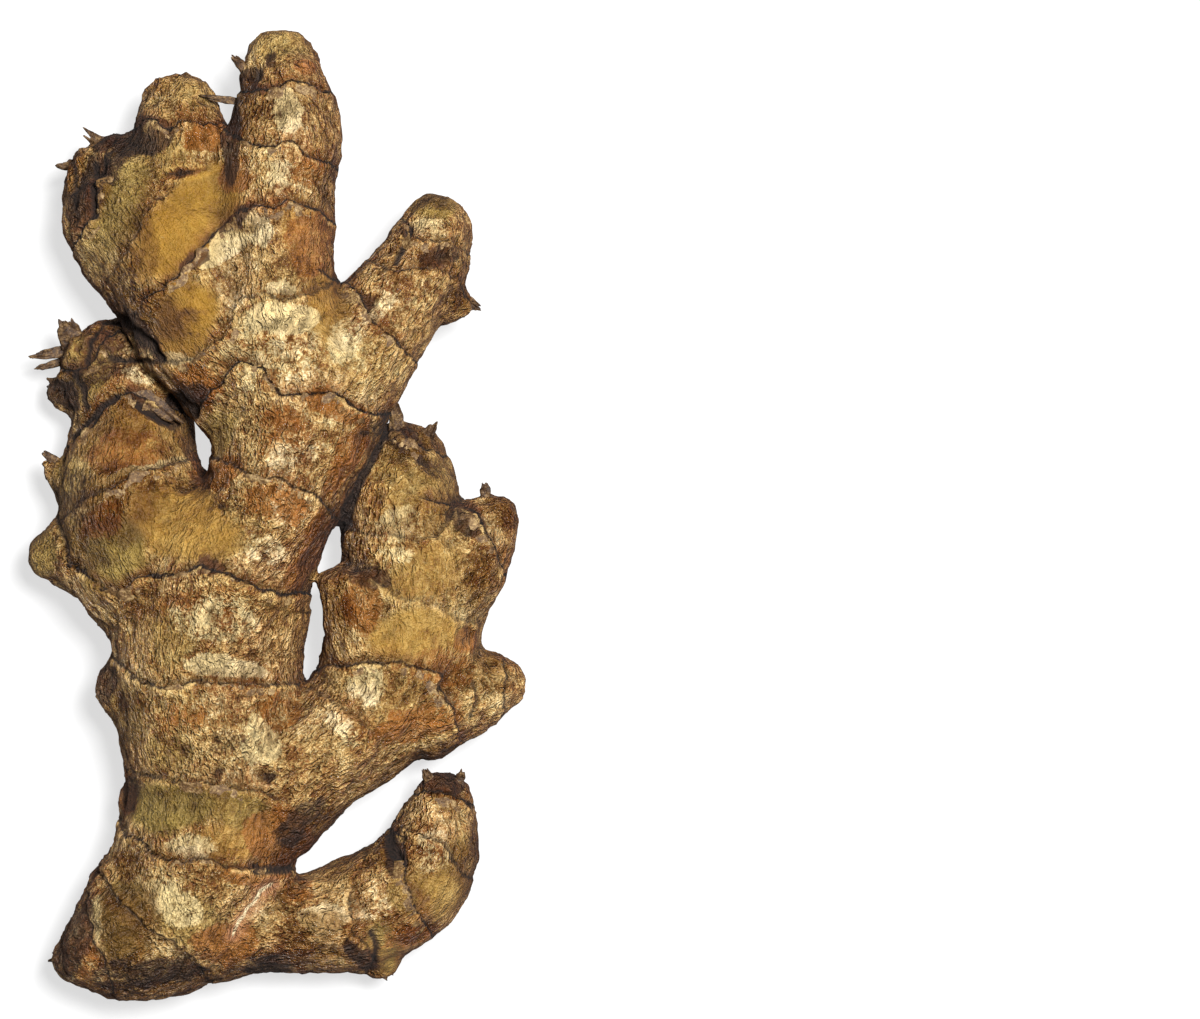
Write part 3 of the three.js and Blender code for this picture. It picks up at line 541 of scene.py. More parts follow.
LEAVES: tuple[Leaf, ...] = (
    Leaf("curled_scale", (-5.0, 68.6, 20.5), 172, 6, 6.4, 1.7, curl=-10, twist=25),
    Leaf("tip_flake", (-4.4, 73.8, 21), 132, 20, 3.6, 2.2, curl=10, twist=40),
    Leaf("frayed_scale_1", (-34.2, 29.0, 12), 104, 20, 4.6, 5.0, curl=10),
    Leaf("frayed_scale_2", (-36.0, 27.6, 11), 190, 10, 5.4, 2.2, curl=-10, twist=25),
    Leaf("frayed_scale_3", (-35.6, 26.2, 9), 197, 4, 5.6, 1.9, curl=14, twist=-30),
    Leaf("frayed_scale_4", (-34.4, 21.6, 10), 170, 2, 4.6, 4.6, curl=-20, twist=10),
    Leaf("frayed_scale_5", (-36.0, 8.2, 12), 140, 12, 3.6, 2.8, curl=20, twist=30),
    Leaf("lobe_scale_1", (-28.4, 61.4, 12), 140, 22, 5.0, 3.4, curl=20),
    Leaf("lobe_scale_2", (-31.6, 58.6, 11), 176, 14, 4.6, 3.0, curl=15, twist=20),
    Leaf("branch_top_scale_1", (20.4, 14.6, 15), 96, 16, 4.4, 3.2, curl=22),
    Leaf("branch_top_scale_2", (24.6, 12.0, 14), 60, 14, 4.2, 3.0, curl=18, twist=-15),
    Leaf("spur_scale", (30.4, 36.4, 15), -24, 6, 4.2, 3.0, curl=12),
    Leaf("bud_scale", (35.2, 3.0, 15), 96, 16, 3.0, 2.2, curl=15),
    Leaf("bottom_tip_scale_1", (26.0, -45.0, 13), 112, 16, 3.4, 2.2, curl=20),
    Leaf("bottom_tip_scale_2", (30.4, -45.4, 12), 76, 12, 3.4, 2.2, curl=20),
    Leaf("bottom_bud_scale", (16.4, -74.4, 11), -50, -4, 4.0, 3.6, curl=-6),
    Leaf("stub_flap", (-22.6, 20.8, 19.6), -36, 0, 8.0, 4.0, curl=-2, twist=6),
    Leaf("end_scale", (-33.6, -73.0, 12), 196, -12, 4.4, 4.2, curl=-10),
)


def ripple(points: Array, wavelength: float | Sequence[float], seed: int = 0) -> Array:
    """Smooth noise of about -1 to 1.

    Args:
        points: one row of x, y, z for each point, millimetres.
        wavelength: size of the ripples, alike all round or for each axis.
        seed: shifts the noise, so that two fields differ.

    Returns:
        One number for each point.
    """
    scaled = points / np.asarray(wavelength, float) + seed * 17.37
    return np.array([noise.noise(place) for place in scaled.tolist()])


def smoothstep(values: Array, start: float, end: float) -> Array:
    """Rises smoothly from 0 at start to 1 at end."""
    share = np.clip((values - start) / (end - start), 0.0, 1.0)
    return share * share * (3.0 - 2.0 * share)


def rippled(points: Array, parts: Sequence[Ripple]) -> Array:
    """The sum of some ripples at each point, millimetres."""
    return sum(part.height * ripple(points, part.size, part.seed) for part in parts)


def folded(points: Array, parts: Sequence[Fold]) -> Array:
    """The sum of some folds at each point, millimetres."""
    return sum(part.height * (part.crest - np.abs(ripple(points, part.size, part.seed))) for part in parts)


def raggedness(points: Array) -> Array:
    """How far a torn edge strays towards the root or the tip, alike at all heights."""
    return rippled(points * (1.0, 1.0, 0.0), TORN_EDGE)


def distances_along(corners: Array) -> Array:
    """How far along a bent line each of its corners lies."""
    gaps = np.linalg.norm(np.diff(corners, axis=0), axis=1)
    return np.concatenate(([0.0], np.cumsum(gaps)))


def between_rows(steps: Array, reach: Array, rows: Array) -> Array:
    """Reads rows that lie at the distances of reach at other steps between them."""
    return np.column_stack([np.interp(steps, reach, column) for column in rows.T])


def put_in_scene(name: str, data: bpy.types.ID) -> bpy.types.Object:
    """Makes an object of a mesh, a light or a camera, and adds it to the scene."""
    made = bpy.data.objects.new(name, data)
    bpy.context.scene.collection.objects.link(made)
    return made


def oval_distance(points: Array, at: Point2, size: Point2, turn: float) -> Array:
    """Distance from an oval's centre in plan, 1 at its edge."""
    angle = math.radians(turn)
    away = points[:, :2] - at
    long = away @ (math.cos(angle), math.sin(angle))
    short = away @ (-math.sin(angle), math.cos(angle))
    return np.hypot(long / size[0], short / size[1])


def line_distance(points: Array, line: Sequence[Point2], extend: float = 0.0) -> tuple[Array, Array]:
    """Measures from a bent line in plan.

    Args:
        points: one row of x, y, z for each point.
        line: the line's corners.
        extend: how far both its ends run on.

    Returns:
        The distance, above 0 on the left of the line, and how far past its ends a point lies.
    """
    corners = np.array(line, float)
    for end, inner in ((0, 1), (-1, -2)):
        outward = corners[end] - corners[inner]
        corners[end] += outward * extend / np.linalg.norm(outward)
    best = np.full(len(points), np.inf)
    signed = np.zeros(len(points))
    past = np.zeros(len(points))
    last = len(corners) - 2
    for i, (start, end) in enumerate(zip(corners[:-1], corners[1:])):
        length = np.linalg.norm(end - start)
        unit = (end - start) / length
        away = points[:, :2] - start
        along = away @ unit
        off = away - np.clip(along, 0.0, length)[:, None] * unit
        distance = np.hypot(off[:, 0], off[:, 1])
        nearer = distance < best
        side = np.where(unit[0] * away[:, 1] - unit[1] * away[:, 0] < 0.0, -1.0, 1.0)
        over = np.zeros(len(points))
        if i == 0:
            over = np.maximum(over, -along)
        if i == last:
            over = np.maximum(over, along - length)
        best = np.where(nearer, distance, best)
        signed = np.where(nearer, distance * side, signed)
        past = np.where(nearer, over, past)
    return signed, past


class FingerAxis:
    """A finger's axis as close samples, with its girth and its directions at each."""

    window = 5  # samples that are averaged to round a corner
    fewest = 4  # samples on a very short finger
    end_reach = 0.7  # how far the rounded end stands out, as a share of the half width

    def __init__(self, finger: Sequence[Station]) -> None:
        """Samples the axis a millimetre apart and rounds its corners."""
        stations = np.array(finger, float)
        stations[:, :3] += AXIS_SHIFT
        reach = distances_along(stations[:, :3])
        self.steps = np.linspace(0.0, reach[-1], max(self.fewest, round(reach[-1]) + 1))
        samples = between_rows(self.steps, reach, stations)
        beyond = self.window // 2
        padded = np.pad(samples, ((beyond, beyond), (0, 0)), mode="edge")
        weights = np.ones(self.window) / self.window
        samples = np.column_stack([np.convolve(column, weights, "valid") for column in padded.T])
        self.centres = samples[:, :3]
        self.half_width = samples[:, 3]
        self.half_thickness = samples[:, 4]
        tangents = np.gradient(self.centres, axis=0)
        self.tangents = tangents / np.linalg.norm(tangents, axis=1)[:, None]
        across = np.column_stack(
            (-self.tangents[:, 1], self.tangents[:, 0], np.zeros(len(self.tangents)))
        )
        self.across = across / np.linalg.norm(across, axis=1)[:, None]
        self.upward = np.cross(self.tangents, self.across)

    def nearest(self, points: Array) -> Array:
        """The index of the nearest sample to each point."""
        square = (self.centres**2).sum(1) - 2.0 * points @ self.centres.T
        return square.argmin(1)

    def locate(self, points: Array) -> tuple[Array, Array]:
        """Finds where points lie along and around the axis.

        Args:
            points: one row of x, y, z for each point.

        Returns:
            The distance from the axis, 1 on the finger's own surface, and the place in the
            finger's own straightened frame: across, up and along.
        """
        index = self.nearest(points)
        away = points - self.centres[index]
        side = (away * self.across[index]).sum(1)
        lift = (away * self.upward[index]).sum(1)
        forward = (away * self.tangents[index]).sum(1)
        at_end = (index == 0) | (index == len(self.steps) - 1)
        past = np.where(at_end, forward, 0.0) / (self.end_reach * self.half_width[index])
        round_about = np.hypot(side / self.half_width[index], lift / self.half_thickness[index])
        place = np.column_stack((side, lift, self.steps[index] + forward))
        return np.hypot(round_about, past), place


AXES: dict[str, FingerAxis] = {name: FingerAxis(finger) for name, finger in FINGERS.items()}


def tipward(ring: Ring) -> tuple[Point2, ...]:
    """The ring's line, turned where needed so that the finger's tip lies on its left."""
    axis = AXES[ring.fingers[0]]
    middle = len(ring.points) // 2
    start, end = np.array(ring.points[middle - 1]), np.array(ring.points[middle])
    centre = (start + end) / 2.0
    index = np.hypot(*(axis.centres[:, :2] - centre).T).argmin()
    run = end - start
    leftward = np.array((-run[1], run[0]))
    towards_tip = float(leftward @ axis.tangents[index][:2]) > 0.0
    return ring.points if towards_tip else ring.points[::-1]


class EvenSkin:
    """A mesh of even small faces as arrays of millimetres, for carving."""

    kept = 0.4  # share of a point's own place in each round of smoothing
    pulled = 0.6  # and the share of its neighbours

    def __init__(self, mesh: bpy.types.Mesh) -> None:
        """Reads the mesh."""
        self.mesh = mesh
        self.count = len(mesh.vertices)
        flat = np.empty(self.count * 3, np.float32)
        mesh.vertices.foreach_get("co", flat)
        self.points: Array = flat.reshape(-1, 3).astype(float) / MM
        pairs = np.empty(len(mesh.edges) * 2, np.int32)
        mesh.edges.foreach_get("vertices", pairs)
        self.edges = pairs.reshape(-1, 2)
        self.degree = np.bincount(pairs, minlength=self.count)

    def neighbour_mean(self, values: Array) -> Array:
        """The mean of each vertex's neighbours, for rows of three values."""
        first, second = self.edges.T
        sums = [
            np.bincount(first, column[second], self.count)
            + np.bincount(second, column[first], self.count)
            for column in values.T
        ]
        return np.column_stack(sums) / self.degree[:, None]

    def smoothed(self, rounds: int) -> Array:
        """The points after some rounds of smoothing."""
        points = self.points
        for _ in range(rounds):
            points = self.kept * points + self.pulled * self.neighbour_mean(points)
        return points

    def store(self) -> None:
        """Writes the points back to the mesh."""
        self.mesh.vertices.foreach_set("co", (self.points * MM).astype(np.float32).ravel())
        self.mesh.update()

    def normals(self) -> Array:
        """The vertex normals of the mesh as it now stands."""
        self.store()
        flat = np.empty(self.count * 3, np.float32)
        self.mesh.vertex_normals.foreach_get("vector", flat)
        return flat.reshape(-1, 3).astype(float)

    def upward(self, start: float, end: float) -> Array:
        """Rises from 0 to 1 as the skin turns from the side to the top."""
        return smoothstep(self.normals()[:, 2], start, end)

    def push(self, heights: Array) -> None:
        """Moves each vertex along its normal, and keeps all of them above the surface."""
        self.points = self.points + self.normals() * heights[:, None]
        self.points[:, 2] = np.maximum(self.points[:, 2], 0.0)

    def hollowness(self, rounds: int) -> Array:
        """How far the surface lies under its smoothed self, millimetres, below 0 on ridges."""
        return ((self.smoothed(rounds) - self.points) * self.normals()).sum(1)

    def attribute(self, name: str, values: Array) -> None:
        """Keeps one number, or one vector, for each vertex."""
        kind, key = ("FLOAT_VECTOR", "vector") if values.ndim == 2 else ("FLOAT", "value")
        layer = self.mesh.attributes.new(name, kind, "POINT")
        layer.data.foreach_set(key, values.astype(np.float32).ravel())


@dataclass
class GingerSkin:
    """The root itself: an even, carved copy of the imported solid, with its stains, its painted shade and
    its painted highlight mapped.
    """

    voxel: float = 0.66  # size of the even faces, millimetres
    rounding: int = 9  # rounds of smoothing that melt the joints between fingers
    fillings: int = 3  # rounds of filling in the valleys
    blend: float = 0.07  # how softly one finger's pattern gives way to the next one's
    ring_reach: float = 8.0  # how far a node line is felt
    near: float = 2.6  # how wide the band is in which the line's colours are drawn
    run_on: float = 3.0  # how far a node line runs on past its ends
    end_fade: float = 2.0  # and over what length it fades there
    flank_lap: float = 0.35  # height of a lap on a steep flank, as a share of its full height
    lap_swell: tuple[float, float] = (0.25, 1.8)  # least and greatest share along a line
    stripe_shift: float = 3.0  # gives each finger a different stretch of the pattern
    lap_length: float = 3.0  # over which the older skin swells to its edge
    lap_drop: float = 0.35  # half the width of the drop at that edge
    foot_depth: float = 0.6  # of the groove at its foot, as a share of the lap
    foot_width: float = 1.3
    walls: tuple[float, float] = (0.25, 0.65)  # levelness under which a wall isn't filled
    filling: float = 0.9  # share of a valley's depth that a round of filling takes
    deepest: float = 0.6  # depth of a valley past which it isn't filled faster
    wide: int = 16  # rounds of smoothing that show up the valleys
    wild_size: float = 15.0  # size of the chance stains
    wild_seed: int = 20
    smoothness: float = 0.80  # how much calmer gold and olive skin is
    dent_shade: tuple[float, float, float] = (0.8, 0.35, 1.1)  # darkness of the painted shade in the hollows, and where it fades
    names: list[str] = field(default_factory=lambda: list(FINGERS))

    def build(self, node: bpy.types.Object) -> bpy.types.Object:
        """Makes the skin.

        Args:
            node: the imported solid, which is left as it is.

        Returns:
            The carved piece.
        """
        skin = EvenSkin(self.even_mesh(node))
        skin.points = skin.smoothed(self.rounding)
        self.fill_valleys(skin)
        shares, grain = self.fingers_at(skin.points)
        heights = rippled(skin.points, SWELLING)
        ring_heights = self.carve_rings(skin, shares)
        tones = self.stain(skin)
        skin.push(heights + ring_heights + self.dents(skin, tones))
        skin.push(self.wrinkles(skin.points, grain, tones) + self.crack(skin) + self.grooves(skin))
        for tone, amount in tones.items():
            skin.attribute(tone.value, amount)
        skin.attribute("grain", grain * MM)
        skin.attribute("seam", self.seams(skin, shares))
        # flank maps the steep sides and the underside, where the material paints shade and makes the skin
        # rougher
        skin.attribute("flank", 1.0 - skin.upward(0.05, 0.95))
        # hollow and crease measure the fine and the wide hollows: the material paints shade into them and
        # lightens the ridges, as a painted highlight
        skin.attribute("hollow", np.clip(skin.hollowness(3) / 0.10, -1.0, 1.0))
        skin.attribute("crease", np.clip(skin.hollowness(60) / 1.1, -1.0, 1.0))
        skin.store()
        piece = put_in_scene("ginger_skin", skin.mesh)
        skin.mesh.shade_smooth()
        return piece

    def even_mesh(self, node: bpy.types.Object) -> bpy.types.Mesh:
        """The solid's shape, remeshed into even faces."""
        merged = bpy.data.meshes.new("merged_solid")
        work = bmesh.new()
        work.from_mesh(node.data)
        bmesh.ops.remove_doubles(work, verts=work.verts, dist=MERGE_GAP * MM)
        bmesh.ops.recalc_face_normals(work, faces=work.faces)
        work.to_mesh(merged)
        work.free()
        carrier = put_in_scene("merged_solid", merged)
        remesh = carrier.modifiers.new("even_faces", "REMESH")
        remesh.mode = "VOXEL"
        remesh.voxel_size = self.voxel * MM
        graph = bpy.context.evaluated_depsgraph_get()
        even = bpy.data.meshes.new_from_object(carrier.evaluated_get(graph))
        bpy.data.objects.remove(carrier)
        bpy.data.meshes.remove(merged)
        even.name = "ginger_skin"
        return even

    def fill_valleys(self, skin: EvenSkin) -> None:
        """Softens the sharp valleys where fingers join, as growth does."""
        for _ in range(self.fillings):
            normals = skin.normals()
            level = smoothstep(np.abs(normals[:, 2]), *self.walls)
            depth = np.clip(skin.hollowness(self.wide), 0.0, self.deepest)
            skin.points = skin.points + normals * (self.filling * level * depth)[:, None]
            skin.points = skin.smoothed(2)

    def fingers_at(self, points: Array) -> tuple[Array, Array]:
        """Finds which finger each point belongs to.

        Args:
            points: one row for each vertex.

        Returns:
            Each finger's share of each vertex, a row for each finger, and every vertex's place
            in the straightened frame of its own finger.
        """
        located = [AXES[name].locate(points) for name in self.names]
        distance = np.array([found[0] for found in located])
        places = np.array([found[1] for found in located])
        owner = distance.argmin(0)
        shares = np.exp((distance.min(0) - distance) / self.blend)
        shares /= shares.sum(0)
        grain = places[owner, np.arange(len(points))]
        grain[:, 0] += self.stripe_shift * owner
        return shares, grain

    @staticmethod
    def seams(skin: EvenSkin, shares: Array) -> Array:
        """Is 1 where one finger's pattern meets another's, and fades over a few faces."""
        owner = shares.argmax(0)
        first, second = skin.edges.T
        apart = owner[first] != owner[second]
        seam = np.zeros((skin.count, 3))
        seam[first[apart]] = 1.0
        seam[second[apart]] = 1.0
        spread = seam
        for _ in range(3):
            spread = skin.neighbour_mean(spread)
            seam = np.maximum(seam, np.minimum(1.6 * spread, 1.0))
        return seam[:, 0]

    def carve_rings(self, skin: EvenSkin, shares: Array) -> Array:
        """Works out the laps at the node lines, and maps the lines for the colours.

        Args:
            skin: the surface, which is given the three maps of the lines.
            shares: each finger's share of each vertex.

        Returns:
            The height of the laps at each vertex.
        """
        heights = np.zeros(skin.count)
        near = np.zeros(skin.count)
        side = np.zeros(skin.count)
        ink = np.zeros(skin.count)
        stray = raggedness(skin.points)
        exposed = self.flank_lap + (1.0 - self.flank_lap) * skin.upward(0.1, 0.6)
        swell = np.clip(1.0 + rippled(skin.points, LAP_SWELL), *self.lap_swell)
        for ring in RINGS:
            low = np.min(ring.points, axis=0) - self.ring_reach
            high = np.max(ring.points, axis=0) + self.ring_reach
            flat = skin.points[:, :2]
            around = np.flatnonzero(((flat > low) & (flat < high)).all(1))
            distance, past = line_distance(skin.points[around], tipward(ring), self.run_on)
            distance += stray[around]
            member = sum(shares[self.names.index(name)][around] for name in ring.fingers)
            held = member * (1.0 - smoothstep(past, 0.0, self.end_fade))
            lift = ring.lip * held * swell[around] * exposed[around]
            heights[around] += lift * self.lap(distance)
            closeness = held * np.exp(-((distance / self.near) ** 2))
            wins = closeness > near[around]
            chosen = around[wins]
            near[chosen] = closeness[wins]
            side[chosen] = (distance * closeness)[wins]
            ink[chosen] = ring.ink
        skin.attribute("line_near", near)
        skin.attribute("line_side", side)
        skin.attribute("line_ink", ink)
        return heights

    def lap(self, distance: Array) -> Array:
        """The cut through a lap: older skin swells to its edge, then drops to a groove."""
        older = np.exp(np.minimum(distance, 0.0) / self.lap_length)
        younger = -self.foot_depth * np.exp(-np.maximum(distance, 0.0) / self.foot_width)
        drop = smoothstep(distance, -self.lap_drop, self.lap_drop)
        return older * (1.0 - drop) + younger * drop

    def stain(self, skin: EvenSkin) -> dict[Tone, Array]:
        """How much of each tone the skin has at each vertex, from 0 to 1; the tone that browns the skin is
        partly painted shade, and the one that pales it partly a painted highlight.
        """
        points = skin.points
        facing_up = skin.upward(-0.5, 0.1)
        sways = [rippled(points, parts) for parts in STAIN_SWAYS]
        warped = points + np.column_stack((*sways, np.zeros(skin.count)))
        tones: dict[Tone, Array] = {}
        for seed, tone in enumerate(Tone):
            wild = smoothstep(ripple(points, self.wild_size, self.wild_seed + seed), 0.05, 0.55)
            tones[tone] = wild * (0.6 - 0.42 * facing_up)
            fade = BROAD_FADE if tone in BROAD_TONES else TORN_FADE
            for x, y, half_length, half_width, turn, strength in PATCHES[tone]:
                distance = oval_distance(warped, (x, y), (half_length, half_width), turn)
                amount = strength * facing_up * (1.0 - smoothstep(distance, *fade))
                tones[tone] = np.maximum(tones[tone], amount)
        return tones

    def dents(self, skin: EvenSkin, tones: dict[Tone, Array]) -> Array:
        """The heights of the hollows and knobs; their bottoms are darkened with painted shade, kept in the
        umber tone.
        """
        heights = np.zeros(skin.count)
        facing_up = skin.upward(0.0, 0.4)
        ragged = rippled(skin.points, DENT_EDGE)
        darkness, *fade = self.dent_shade
        for dent in DENTS:
            distance = oval_distance(skin.points, dent.at, dent.size, dent.turn)
            bowl = np.exp(-1.6 * distance**2)
            edge = np.exp(-(((distance - 1.25) / 0.4) ** 2))
            heights += facing_up * (dent.rim * edge - dent.depth * bowl)
            dark = darkness * dent.ink * facing_up * (1.0 - smoothstep(distance + ragged, *fade))
            tones[Tone.UMBER] = np.maximum(tones[Tone.UMBER], dark)
        return heights

    def grooves(self, skin: EvenSkin) -> Array:
        """The heights of the dark folds, which are mapped for the painted shade in them."""
        facing_up = skin.upward(-0.1, 0.3)
        heights = np.zeros(skin.count)
        ink = np.zeros(skin.count)
        stray = 0.5 * raggedness(skin.points)
        for groove in GROOVES:
            signed, past = line_distance(skin.points, groove.points)
            distance = np.hypot(signed + stray, np.maximum(past, 0.0)) / groove.width
            heights -= groove.depth * facing_up * np.exp(-(distance**2))
            ink = np.maximum(ink, groove.ink * facing_up * np.exp(-0.55 * distance**2))
        skin.attribute("groove", ink)
        return heights

    def crack(self, skin: EvenSkin) -> Array:
        """The heights of the pale crack, which is mapped for its colour."""
        facing_up = skin.upward(0.0, 0.3)
        signed, past = line_distance(skin.points, CRACK)
        distance = np.hypot(signed, np.maximum(past, 0.0))
        skin.attribute("crack_near", facing_up * np.clip(1.0 - distance / 3.0, 0.0, 1.0))
        return -CRACK_DEPTH * facing_up * np.exp(-((distance / CRACK_WIDTH) ** 2))

    def wrinkles(self, points: Array, grain: Array, tones: dict[Tone, Array]) -> Array:
        """Lengthwise wrinkles, pits, and the folds of the crumpled ends."""
        smooth = np.clip(tones[Tone.GOLD] + 0.7 * tones[Tone.OLIVE], 0.0, 1.0)
        calm = 1.0 - self.smoothness * smooth
        heights = calm * (folded(grain, NETTING) + rippled(points, PITS))
        return heights + tones[Tone.CRUMPLED] * folded(points, CRUMPLES)


class PaperStrip:
    """A small sheet of papery skin, shaped from a grid and given a thickness."""

    def __init__(self, name: str, columns: int, rows: int) -> None:
        """Starts a flat grid of columns by rows of points."""
        self.name = name
        self.work = bmesh.new()
        bmesh.ops.create_grid(self.work, x_segments=columns - 1, y_segments=rows - 1, size=0.5)
        verts = sorted(self.work.verts, key=lambda v: (round(v.co.x, 4), round(v.co.y, 4)))
        self.grid = [verts[i * rows : (i + 1) * rows] for i in range(columns)]

    def finish(self, thickness: float) -> bpy.types.Object:
        """Makes the sheet an object of its own, of the thickness in millimetres."""
        bmesh.ops.recalc_face_normals(self.work, faces=self.work.faces)
        mesh = bpy.data.meshes.new(self.name)
        self.work.to_mesh(mesh)
        self.work.free()
        piece = put_in_scene(self.name, mesh)
        solid = piece.modifiers.new("thickness", "SOLIDIFY")
        solid.thickness = thickness * MM
        solid.offset = 0.0
        mesh.shade_smooth()
        return piece


@dataclass
class PaperyEdges:
    """The torn papery edges that lie over the node lines, where they can be seen."""

    skin: bpy.types.Object
    spacing: float = 0.4
    rows: int = 6
    tucked: float = 1.8  # how far the edge runs back under the older skin
    thickness: float = 0.14
    steepest: float = 0.32  # least upward part of the skin's normal that still holds an edge
    shortest: int = 6  # samples in a run that is too short for an edge
    drop_height: float = 0.1  # metres, above all of the root

    def build(self) -> list[bpy.types.Object]:
        """Makes one strip for each unbroken stretch of each line that has an edge."""
        graph = bpy.context.evaluated_depsgraph_get()
        surface = BVHTree.FromObject(self.skin, graph)
        pieces: list[bpy.types.Object] = []
        for ring in (ring for ring in RINGS if ring.paper > 0.0):
            for stretch in self.stretches(surface, ring):
                name = f"papery_edge_{len(pieces) + 1:02d}"
                pieces.append(self.strip(name, ring, stretch))
        return pieces

    def stretches(self, surface: BVHTree, ring: Ring) -> Iterable[list[tuple[Array, Array, Array]]]:
        """Follows a ring over the skin.

        Args:
            surface: the carved skin, for finding its height.
            ring: the node line.

        Yields:
            Unbroken runs of samples: the edge's place, the direction towards the tip, and the
            place further back, all lying on the skin.
        """
        corners = np.array(tipward(ring), float)
        reach = distances_along(corners)
        line = between_rows(np.arange(0.0, reach[-1], self.spacing), reach, corners)
        runs = np.gradient(line, axis=0)
        for _ in range(4):
            runs[1:-1] = (runs[:-2] + runs[1:-1] + runs[2:]) / 3.0
        runs /= np.linalg.norm(runs, axis=1)[:, None]
        stray = raggedness(np.column_stack((line, np.zeros(len(line)))))
        run: list[tuple[Array, Array, Array]] = []
        for place, direction, offset in zip(line, runs, stray):
            tip = np.array((-direction[1], direction[0]))
            edge = place - tip * (offset + 0.3)
            back = edge - tip * self.tucked
            on_edge, on_back = self.drop(surface, edge), self.drop(surface, back)
            level = on_edge is not None and on_back is not None
            if level and abs(on_edge[2] - on_back[2]) < self.tucked:
                run.append((on_edge, tip, on_back))
                continue
            if len(run) > self.shortest:
                yield run
            run = []
        if len(run) > self.shortest:
            yield run

    def drop(self, surface: BVHTree, place: Array) -> Array | None:
        """The skin's point under a place in plan, or None where it is too steep."""
        above = Vector((place[0] * MM, place[1] * MM, self.drop_height))
        hit, normal, _, _ = surface.ray_cast(above, Vector((0.0, 0.0, -1.0)))
        if hit is None or normal.z < self.steepest:
            return None
        return np.array(hit) / MM

    def strip(self, name: str, ring: Ring, samples: list[tuple[Array, Array, Array]]) -> bpy.types.Object:
        """Builds one strip.

        Args:
            name: the piece's name.
            ring: the line that it lies along.
            samples: the places that it passes through.

        Returns:
            The strip as a piece.
        """
        sheet = PaperStrip(name, len(samples), self.rows)
        places = np.array([sample[0] for sample in samples])
        torn = 0.02 + rippled(places, PAPER_REACH)
        lifted = 0.5 + rippled(places, PAPER_LIFT)
        count = len(samples)
        for i, (edge, tip, back) in enumerate(samples):
            taper = min(1.0, 3.0 * min(i, count - 1 - i) / count)
            reach = ring.paper * min(torn[i], 1.2) * 1.8 * taper
            buried = max(0.0, 0.25 - reach)
            rise = (0.12 + 0.22 * max(0.0, lifted[i])) * taper - buried
            reach = max(reach, 0.05)
            slope = (edge[2] - back[2]) / self.tucked
            for row, vertex in enumerate(sheet.grid[i]):
                share = row / (self.rows - 1)
                forward = -self.tucked + share * (self.tucked + reach)
                height = edge[2] + slope * forward - 0.22 * (1.0 - share) ** 1.5 + rise * share**3
                flat = edge[:2] + tip * forward
                vertex.co = Vector((flat[0], flat[1], max(height, 0.1))) * MM
        return sheet.finish(self.thickness)


@dataclass
class PaperyScales:
    """The loose scales that stand off the skin at the tips and stubs."""

    columns: int = 14
    rows: int = 13
    thickness: float = 0.16

    def build(self) -> list[bpy.types.Object]:
        """Makes one piece for each leaf."""
        return [self.scale(leaf, seed) for seed, leaf in enumerate(LEAVES)]

    def scale(self, leaf: Leaf, seed: int) -> bpy.types.Object:
        """Builds one scale.

        Args:
            leaf: its place and shape.
            seed: makes its torn tip its own.

        Returns:
            The scale as a piece.
        """
        sheet = PaperStrip(leaf.name, self.columns, self.rows)
        heading = math.radians(leaf.heading)
        along = Vector((math.cos(heading), math.sin(heading), 0.0))
        sideways = Vector((-along.y, along.x, 0.0))
        place = Vector(leaf.root) - along * (0.2 * leaf.length)
        step = 1.2 * leaf.length / (self.columns - 1)
        for i in range(self.columns):
            share = i / (self.columns - 1)
            pitch = math.radians(leaf.rise + leaf.curl * share)
            forward = along * math.cos(pitch) + Vector((0.0, 0.0, math.sin(pitch)))
            turned = math.radians(leaf.twist * share)
            upward = sideways.cross(forward) * -1.0
            outward = sideways * math.cos(turned) + upward * math.sin(turned)
            half = 0.5 * leaf.width * (0.95 - 0.5 * share**1.6)
            half *= 1.0 + 0.35 * noise.noise(Vector((share * 4.0, seed * 3.1, 0.0)))
            for row, vertex in enumerate(sheet.grid[i]):
                off = 2.0 * row / (self.rows - 1) - 1.0
                torn = noise.noise(Vector((off * 1.15, share * 1.2, seed * 1.7 + 9.0)))
                wave = noise.noise(Vector((off * 2.0, share * 4.0, seed * 2.3 + 4.0)))
                spot = place + outward * (half * off)
                fray = 0.45 * torn + 0.10 * noise.noise(Vector((off * 5.0, 0.0, seed * 2.1)))
                spot += forward * (share**2 * leaf.length * (fray - 0.12 * off * off))
                spot += upward * (0.9 * wave * share - 0.25 * half * off * off)
                vertex.co = Vector((spot.x, spot.y, max(spot.z, 0.2))) * MM
            place = place + forward * step
        return sheet.finish(self.thickness)


def paint(red: int, green: int, blue: int) -> Colour:
    """A colour given on a screen's scale of 0 to 255, as the light it stands for."""
    shares = (red / 255.0, green / 255.0, blue / 255.0)
    return tuple(s / 12.92 if s <= 0.04045 else ((s + 0.055) / 1.055) ** 2.4 for s in shares)


